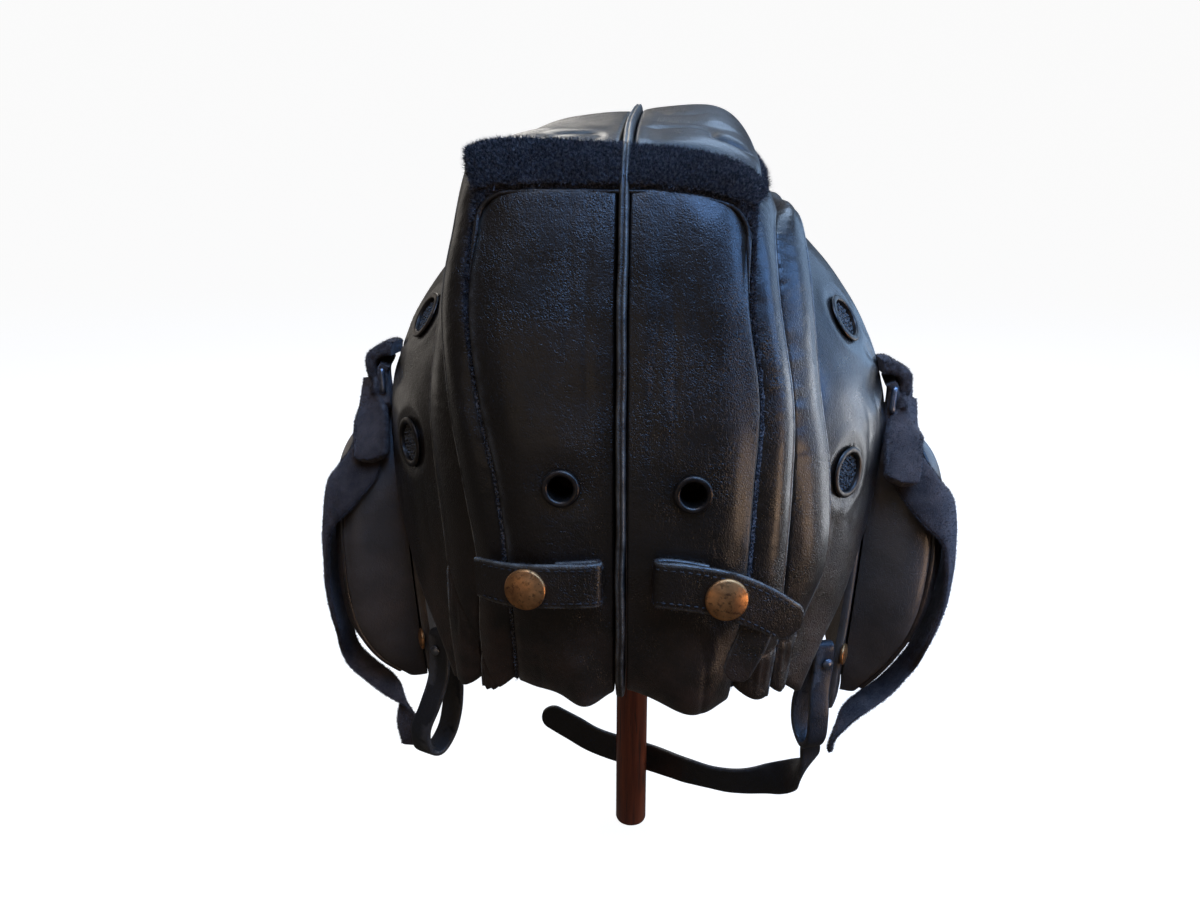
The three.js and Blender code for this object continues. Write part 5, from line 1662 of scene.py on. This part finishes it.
# %% Anchors, doubled ends and slides
anchor_rows = {
    "left": [[-98.4, -16, -75.6, 17, 0, 1, 0], [-101.6, -16, -75.4, 18, 0, 1, 0],
             [-106.6, -15, -78.6, 18.5, 0, 1, 0], [-109.2, -14, -84.8, 18.5, -0.3, 1, 0],
             [-108.8, -14, -90.5, 18.5, -0.45, 0.9, -0.1],
             [-107.6, -15, -96.5, 17, -0.45, 0.9, -0.1]],
    "right": [[98.4, -16, -80.4, 17, 0, 1, 0], [101.6, -16, -80.2, 18, 0, 1, 0],
              [106.6, -15, -83.2, 18.5, 0, 1, 0], [109.2, -14, -89.4, 18.5, 0.3, 1, 0],
              [108.8, -14, -95.2, 18.5, 0.45, 0.9, -0.1],
              [107.6, -15, -101, 17, 0.45, 0.9, -0.1]],
}
end_rows = {
    "left": [[-109.6, -16, -88.5, 17, -0.5, 0.85, -0.1], [-110.2, -18.5, -97, 17, -0.6, 0.8, -0.1],
             [-108.4, -25, -104, 16, -0.8, 0.5, 0], [-106.4, -32, -111.5, 15, -1, 0.25, 0],
             [-105.2, -37.5, -119, 13.5, -1, 0.15, 0]],
    "right": [[109.6, -16.5, -93, 17, 0.5, 0.85, -0.1], [109.6, -20, -101, 16, 0.6, 0.8, -0.1],
              [107, -28.5, -107, 15, 0.9, 0.4, 0], [105.6, -35.5, -113.5, 14.5, 1, 0.2, 0],
              [103.8, -43, -122, 13, 1, 0.15, 0]],
}


ANCHOR_THICK, END_THICK = 5.2, 4.4
tail_places = [(102.2, -16, -5, 16), (104.4, -15.5, -9, 17), (104.4, -15.5, -15, 17),
               (103.6, -16, -21, 17), (102.6, -18, -27, 16)]
SLIDE_LONG, SLIDE_TALL, SLIDE_CORNER = 12, 5.2, 0.28


def slide_frame(side):
    """A wire frame with rounded corners: a superellipse line with a flat oval section."""
    centre = middle_of(f"strap_slide_{SIDE_NAMES[side]}")
    a = np.linspace(0, 2 * np.pi, 72, endpoint=False)
    long = SLIDE_LONG * signed_power(np.cos(a), SLIDE_CORNER)
    tall = SLIDE_TALL * signed_power(np.sin(a), SLIDE_CORNER)
    across = unit(np.array([0.47 * side, 0.86, -0.2]))
    face = unit(np.cross(across, [0, 0, 1.0]))
    line = centre + long[:, None] * across + tall[:, None] * np.cross(face, across)
    inward = unit(centre - line)
    b = np.linspace(0, 2 * np.pi, 10, endpoint=False)[None, :, None]
    rings = line[:, None] + 1.45 * np.cos(b) * inward[:, None] + 1.2 * np.sin(b) * face
    return loft(rings, looped=True)


def tail_rows(rows, side):
    """The anchor's end that is turned back behind the slide, 4 to 6 mm nearer the head."""
    top = rows[0][2]
    return [[side * x, y, top + z, wide, 0.2 * side, 1, 0] for x, y, z, wide in tail_places]


for number, (name, side) in enumerate(SIDES):
    for word, rows, thick in (("anchor", anchor_rows[name], ANCHOR_THICK),
                              ("end", end_rows[name], END_THICK)):
        body, wear_and_highlight, *_ = strap(rows, thick, 60, 3.0, 5 + number + len(word), 0.5)
        nap = fuzz(rings_of(body), ANCHOR_NAP, 1.0, NAP_WIDTH, 320 + number + len(word))
        if word == "anchor":
            tail = tail_rows(rows, side)
            turned_back, more, *_ = strap(tail, END_THICK, 40, 3.0, 9 + number, 0.5)
            body, wear_and_highlight = join_bodies([body, turned_back]), np.concatenate([wear_and_highlight, more])
        wear_and_highlight = np.concatenate([wear_and_highlight, np.zeros(len(nap[0]))])
        add_piece(f"strap_{word}_{name}", join_bodies([body, nap]), black_suede, wear_and_highlight)
    add_piece(f"strap_slide_{name}", slide_frame(side), worn_steel)

# %% The bottom loops and the chin strap
FLESH_SIDE = 2.5  # the wear that makes a face as pale as the leather's flesh side
CHIN_THICK = 2.4
loops = {
    "left": (10, (0.9, -0.44, 0), [
        [-79.5, -42.5, -193], [-79.8, -42.5, -204], [-80.6, -44, -213], [-84, -46.5, -224],
        [-88.5, -46, -236], [-88.5, -42.5, -247], [-85, -37.5, -250], [-80.5, -33.5, -243],
        [-77.5, -34.5, -231], [-76, -36.5, -219], [-76.6, -38, -207], [-77.5, -39.3, -194.5]]),
    "right": (8.5, (0.95, 0.32, 0), [
        [79.5, -41.5, -192], [79.6, -41.5, -203], [78.5, -43, -212], [78.5, -45.3, -222],
        [78, -45.3, -232], [76, -41, -237], [73.5, -35.6, -231.5], [73, -35, -221],
        [74.8, -36.7, -210], [76.5, -37.8, -200], [77.5, -38.6, -193]]),
}


def closed_curve(points, steps):
    """A closed Catmull-Rom curve through the points: each stretch is a cubic with the slopes of its
    ends' neighbours."""
    points = np.array(points, float)
    u = np.arange(steps) * len(points) / steps
    i = u.astype(int)
    w = (u - i)[:, None]
    a, b, c, d = (points[(i + k) % len(points)] for k in (-1, 0, 1, 2))
    return 0.5 * (2 * b + (c - a) * w + (2 * a - 5 * b + 4 * c - d) * w**2
                  + (3 * b - a - 3 * c + d) * w**3)


def leather_loop(points, direction, wide, thick, seed, steps=96):
    """A closed strip whose width lies along one direction. Its inner face is the leather's pale
    flesh side."""
    line = closed_curve(points, steps)
    along = unit(np.roll(line, -1, axis=0) - np.roll(line, 1, axis=0))
    across = unit(np.array(direction, float)) + 0 * line
    face = unit(np.cross(along, across))
    rings, rub = strap_rings(line, across, face, wide, thick)
    rings = rings + face[:, None] * (0.3 * noise(rings, 8, seed))[..., None]
    inward = dot(rings - line[:, None], line.mean(axis=0) - line[:, None])[..., 0] > 0
    return loft(rings, looped=True), np.where(inward, FLESH_SIDE, rub).ravel()


for name, (wide, direction, points) in loops.items():
    body, wear_and_highlight = leather_loop(points, direction, wide, LEATHER, 240 + len(name))
    add_piece(f"bottom_loop_{name}", body, strap_leather, wear_and_highlight)
chin_rows = [
    [77.5, -37.5, -240.2, 8.5, 1, 0.3, 0], [78, -34, -250, 11, 0.7, 0.6, 0.4],
    [74.5, -26, -262, 13.5, 0.4, 0.2, 0.9], [64, -17, -272, 14.5, 0.2, -0.1, 1],
    [47, -11, -278, 14.5, 0, -0.3, 1], [28, -3, -279.5, 14.5, 0, -0.2, 1],
    [9, 11, -282.5, 14.5, 0, 0, 1], [-16.5, 17, -279, 14, 0.2, 0, 1],
    [-30, 19, -273, 13.5, 0.3, 0, 1], [-41, 20, -267.3, 13, 0.3, 0, 1],
    [-45.5, 20, -265, 12, 0.3, 0, 1]]
body, wear_and_highlight, *_ = strap(chin_rows, CHIN_THICK, 260, 6.0, 11, 0.3)
add_piece("chin_strap", body, strap_leather, wear_and_highlight)

# %% [markdown]
# ## Snap caps and the post
#
# A snap's cap is a thin brass dome rolled in at its rim. The post is a turned rod with a low cap
# inside the crown. Both are lathe profiles, the quickest exact way to any round part.

# %% Caps and post
def dome(radius, rise, rim=0.9, steps=12):
    """A cap's profile from its axis outwards: a shallow dome, a rolled rim and a flat underside."""
    a = np.linspace(0, 1, steps)
    top = np.stack([(radius - rim) * a, rim + rise * (1 - a**2)], -1)
    b = np.linspace(np.pi / 2, -np.pi / 2, 7)[1:]
    roll = np.stack([radius - rim + rim * np.cos(b), rim * np.sin(b)], -1)
    return np.concatenate([[[AXIS, rim + rise]], top[1:], roll, [[AXIS, -rim]]])


def add_cap(name, profile, way, sink, segments, material):
    """A cap that faces along way, sunk a little from the middle of its node."""
    way = unit(np.array(way, float))
    rings = turned_body(profile, middle_of(name) - sink * way, way, segments)
    add_piece(name, loft(rings), material)


rivet = dome(2.2, 0.6, 0.5, 8)
add_cap("snap_cap_left", dome(6.8, 1.1), [-0.12, -1, 0.06], 0.2, 56, aged_brass)
add_cap("snap_cap_right", dome(6.9, 1.1), [0.14, -1, 0.06], 0.2, 56, aged_brass)
for name, side in SIDES:
    level = direction_of(middle_of(f"ear_snap_{name}")) * [1, 1, 0]
    add_cap(f"ear_snap_{name}", dome(4.5, 0.7, 0.7), level, 0, 40, aged_brass)
add_cap("loop_rivet_left", rivet, [-0.44, -0.9, 0], 0.6, 28, worn_steel)
add_cap("loop_rivet_right", rivet, [0.32, -0.95, 0], 0.6, 28, worn_steel)

# %% The post
post_low, post_high = (np.array(corner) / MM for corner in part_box("stand_post"))
FOOT, TOP, CAP_RADIUS = post_low[2], post_high[2], post_high[0]
POST_RADIUS, CAP_FALL, CAP_EDGE, CAP_ROUND, NECK = 7.25, 9.8, 5.0, 1.2, 14.0
edge_z = TOP - CAP_FALL
r = np.linspace(AXIS, CAP_RADIUS - CAP_ROUND, 16)
cap_top = np.stack([r, TOP - CAP_FALL * (r / CAP_RADIUS) ** 2], -1)
a = np.linspace(np.pi / 2, 0, 6)
brim = np.stack([CAP_RADIUS - CAP_ROUND * (1 - np.cos(a)), edge_z - CAP_ROUND * (1 - np.sin(a))],
                -1)
neck = [[CAP_RADIUS, edge_z - CAP_EDGE], [POST_RADIUS + 2, edge_z - NECK],
        [POST_RADIUS, edge_z - NECK - 3]]
rod_z = np.linspace(edge_z - NECK - 8, FOOT + 1.5, 20)
rod = np.stack([np.full(20, POST_RADIUS), rod_z], -1)
end = [[POST_RADIUS - 0.4, FOOT + 0.5], [POST_RADIUS - 1.3, FOOT], [AXIS, FOOT]]
profile = np.concatenate([cap_top, brim, neck, rod, end])
rings = turned_body(profile, np.zeros(3), [0, 0, 1], 48)
add_piece("stand_post", loft(rings), stand_wood)
print("post made, foot at", round(FOOT, 1), "mm")

# %% [markdown]
# ## Stitches
#
# Seams are sewn with black thread, about eight stitches to the inch, and the tabs and flaps more
# closely. A painted dash would vanish from the side. Each line is asked from the same surface
# formulas as the pieces, so a stitch sits on the leather wherever it goes.

# %% Seam lines
def add_stitches(name, bodies):
    """One piece of thread for all of a part's seams."""
    body = join_bodies(bodies)
    add_piece(name, body, black_thread)
    print(name, len(body[0]) // STITCH_POINTS, "stitches")


s = np.linspace(0.03, 0.985, 260)
for name, side in SIDES:
    edge, crest = on_block(s, side + 0 * s), crest_point(s, 1, side)
    groove = on_shell(past_point(edge, s, side, 3.6 + 0 * s), 1.9 + 0 * s)
    low = np.maximum(height_of(crest) - GROOVE_STEP, GROOVE_FLOOR)
    gap_line = on_shell(past_point(crest, s, side, BETWEEN - 0.4 + 0 * s), low + 1.0)
    add_stitches(f"ridge_stitches_{name}",
                 [stitch_line(line, direction_of(line)) for line in (groove, gap_line)])

TAB_SEAMS = (-5.6, 5.4)  # from the tab's middle
for name, (line, face, across) in tab_lines.items():
    outer = line[40:-6] if name.endswith("left") else line[44:-12]
    face, across = (values[len(line) - len(outer):][: len(outer)] for values in (face, across))
    out = face * np.sign(face[:, 1:2] * -1)
    lines = [outer + across * reach + out * (TAB_THICK / 2 + 0.15) for reach in TAB_SEAMS]
    add_stitches(f"{name}_stitches", [stitch_line(row, out, 2.6, 1.8, 0.5) for row in lines])
for name, side in SIDES:
    t = np.linspace(0.3, 0.97, 160)
    row = cup(t)
    turn = row["rear"] - row["hem"] + np.degrees(3.1 / HALF)
    seam = on_ring(side, turn, row["z"] - FLAP_FOOT, FLAP_LIFT + 0.1 + 0 * t)
    add_stitches(f"flap_stitches_{name}", [stitch_line(seam, direction_of(seam), 2.8, 2.0, 0.5)])

# %% [markdown]
# ## Camera, light and floor
#
# The camera stands where the photo's did: a little right of the middle, looking down by fifteen
# degrees, with a phone's wide lens. The light is a plain studio of rectangles, which give leather
# the soft broad highlights that a point of light can't. Blue ones stand high in front, on the right
# and overhead, as windows would, pale ones behind the crown and far to both sides, and a warm one
# low on the right fills the ear cup. The floor is pale and only the camera sees it, so it throws
# no light up into the helmet.

# %% Camera
SENSOR = 36
FOCAL = 890 / 1200 * SENSOR
azimuth, pitch = math.radians(4.5), math.radians(15)
camera_data = bpy.data.cameras.new("camera")
camera_data.lens = FOCAL
camera_data.sensor_width = SENSOR
camera = bpy.data.objects.new("camera", camera_data)
camera.location = (0.0145, -0.3767, -0.022)
camera.rotation_euler = (math.pi / 2 - pitch, 0, azimuth)
bpy.context.scene.collection.objects.link(camera)
bpy.context.scene.camera = camera
print("camera focal length:", round(FOCAL, 1), "mm")

# %% Lights
AIM = np.array([0, 0, -0.08])


def area_light(name, place, size, radiance, colour):
    """A rectangle of light that looks at the helmet. Its power is 4 x area x radiance."""
    light = bpy.data.lights.new(name, "AREA")
    light.shape = "RECTANGLE"
    light.size, light.size_y = size
    light.energy = 4 * size[0] * size[1] * radiance
    light.color = colour
    holder = bpy.data.objects.new(name, light)
    holder.location = place
    way = AIM - place
    tilt = math.atan2(math.hypot(way[0], way[1]), -way[2])
    holder.rotation_euler = (tilt, 0, math.atan2(-way[0], way[1]))
    bpy.context.scene.collection.objects.link(holder)


lights = {
    "blue_window": ((0.42, -0.6, 0.95), (0.9, 0.7), 8.0, (0.22, 0.46, 1.0)),
    "left_window": ((-0.3, -0.62, 0.92), (0.5, 0.5), 2.4, (0.8, 0.84, 1.0)),
    "right_sky": ((1.1, -0.2, 0.35), (0.6, 0.7), 4.5, (0.2, 0.45, 1.0)),
    "far_right": ((0.95, 0.75, 0.2), (0.8, 0.8), 1.5, (0.4, 0.64, 1.0)),
    "pale_right": ((0.95, 0.35, -0.25), (0.35, 0.45), 4.0, (0.9, 0.94, 1.0)),
    "far_left": ((-1.0, 0.7, 0.12), (0.7, 0.8), 0.42, (1.0, 0.93, 0.85)),
    "far_top_left": ((-0.4, 1.0, 0.7), (0.5, 0.5), 3.0, (1.0, 0.96, 0.9)),
    "far_top_right": ((0.35, 0.8, 0.9), (0.5, 0.5), 3.6, (0.5, 0.7, 1.0)),
    "overhead": ((0.15, 0.2, 1.15), (0.9, 0.7), 1.8, (0.4, 0.64, 1.0)),
    "room": ((-0.5, -1.3, -0.1), (1.0, 0.6), 0.26, (1.0, 0.78, 0.58)),
    "low_warm": ((1.0, -0.5, -0.4), (0.4, 0.4), 4.0, (1.0, 0.68, 0.45)),
}
for name, settings in lights.items():
    area_light(name, *settings)
world = bpy.data.worlds.new("studio")
world.use_nodes = True
set_inputs(world.node_tree, world.node_tree.nodes["Background"],
           {"Color": (1.0, 0.93, 0.86, 1), "Strength": 0.06})
bpy.context.scene.world = world
bpy.context.scene.view_settings.view_transform = "Standard"
print("lights:", len(lights))

# %% The floor, which sweeps up into a backdrop
FLOOR_FRONT, FLOOR_BACK, FLOOR_HALF, SWEEP_RADIUS, BACKDROP = -9.0, 3.0, 18.0, 5.0, 10.0
ground = float(FOOT) * MM
a = np.linspace(0, np.pi / 2, 24)
curve = np.stack([FLOOR_BACK + SWEEP_RADIUS * np.sin(a), SWEEP_RADIUS * (1 - np.cos(a))], -1)
sweep = np.concatenate([[[FLOOR_FRONT, 0]], curve, [[FLOOR_BACK + SWEEP_RADIUS, BACKDROP]]])
stage_points = [(x, y, ground + z) for y, z in sweep for x in (-FLOOR_HALF, FLOOR_HALF)]
stage_faces = [(2 * i, 2 * i + 1, 2 * i + 3, 2 * i + 2) for i in range(len(sweep) - 1)]
stage_mesh = bpy.data.meshes.new("floor")
stage_mesh.from_pydata(stage_points, [], stage_faces)
stage_mesh.shade_smooth()
stage_finish, stage_tree, stage_shader, _ = new_finish("pale_floor")
set_inputs(stage_tree, stage_shader, {"Base Color": (0.3, 0.3, 0.3, 1), "Roughness": 0.9,
                                      "Emission Color": (1, 1, 1, 1), "Emission Strength": 0.94})
stage_mesh.materials.append(stage_finish)
floor = bpy.data.objects.new("floor", stage_mesh)
floor.visible_diffuse = False
floor.visible_glossy = False
bpy.context.scene.collection.objects.link(floor)
floor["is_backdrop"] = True
print("floor at", round(ground, 4), "m")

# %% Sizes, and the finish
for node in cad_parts.values():
    if not node.hide_render:
        print("frame node still showing:", node.name)
added = sum(len(o.data.loop_triangles) or sum(len(p.vertices) - 2 for p in o.data.polygons)
            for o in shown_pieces())
print("triangles added:", added)
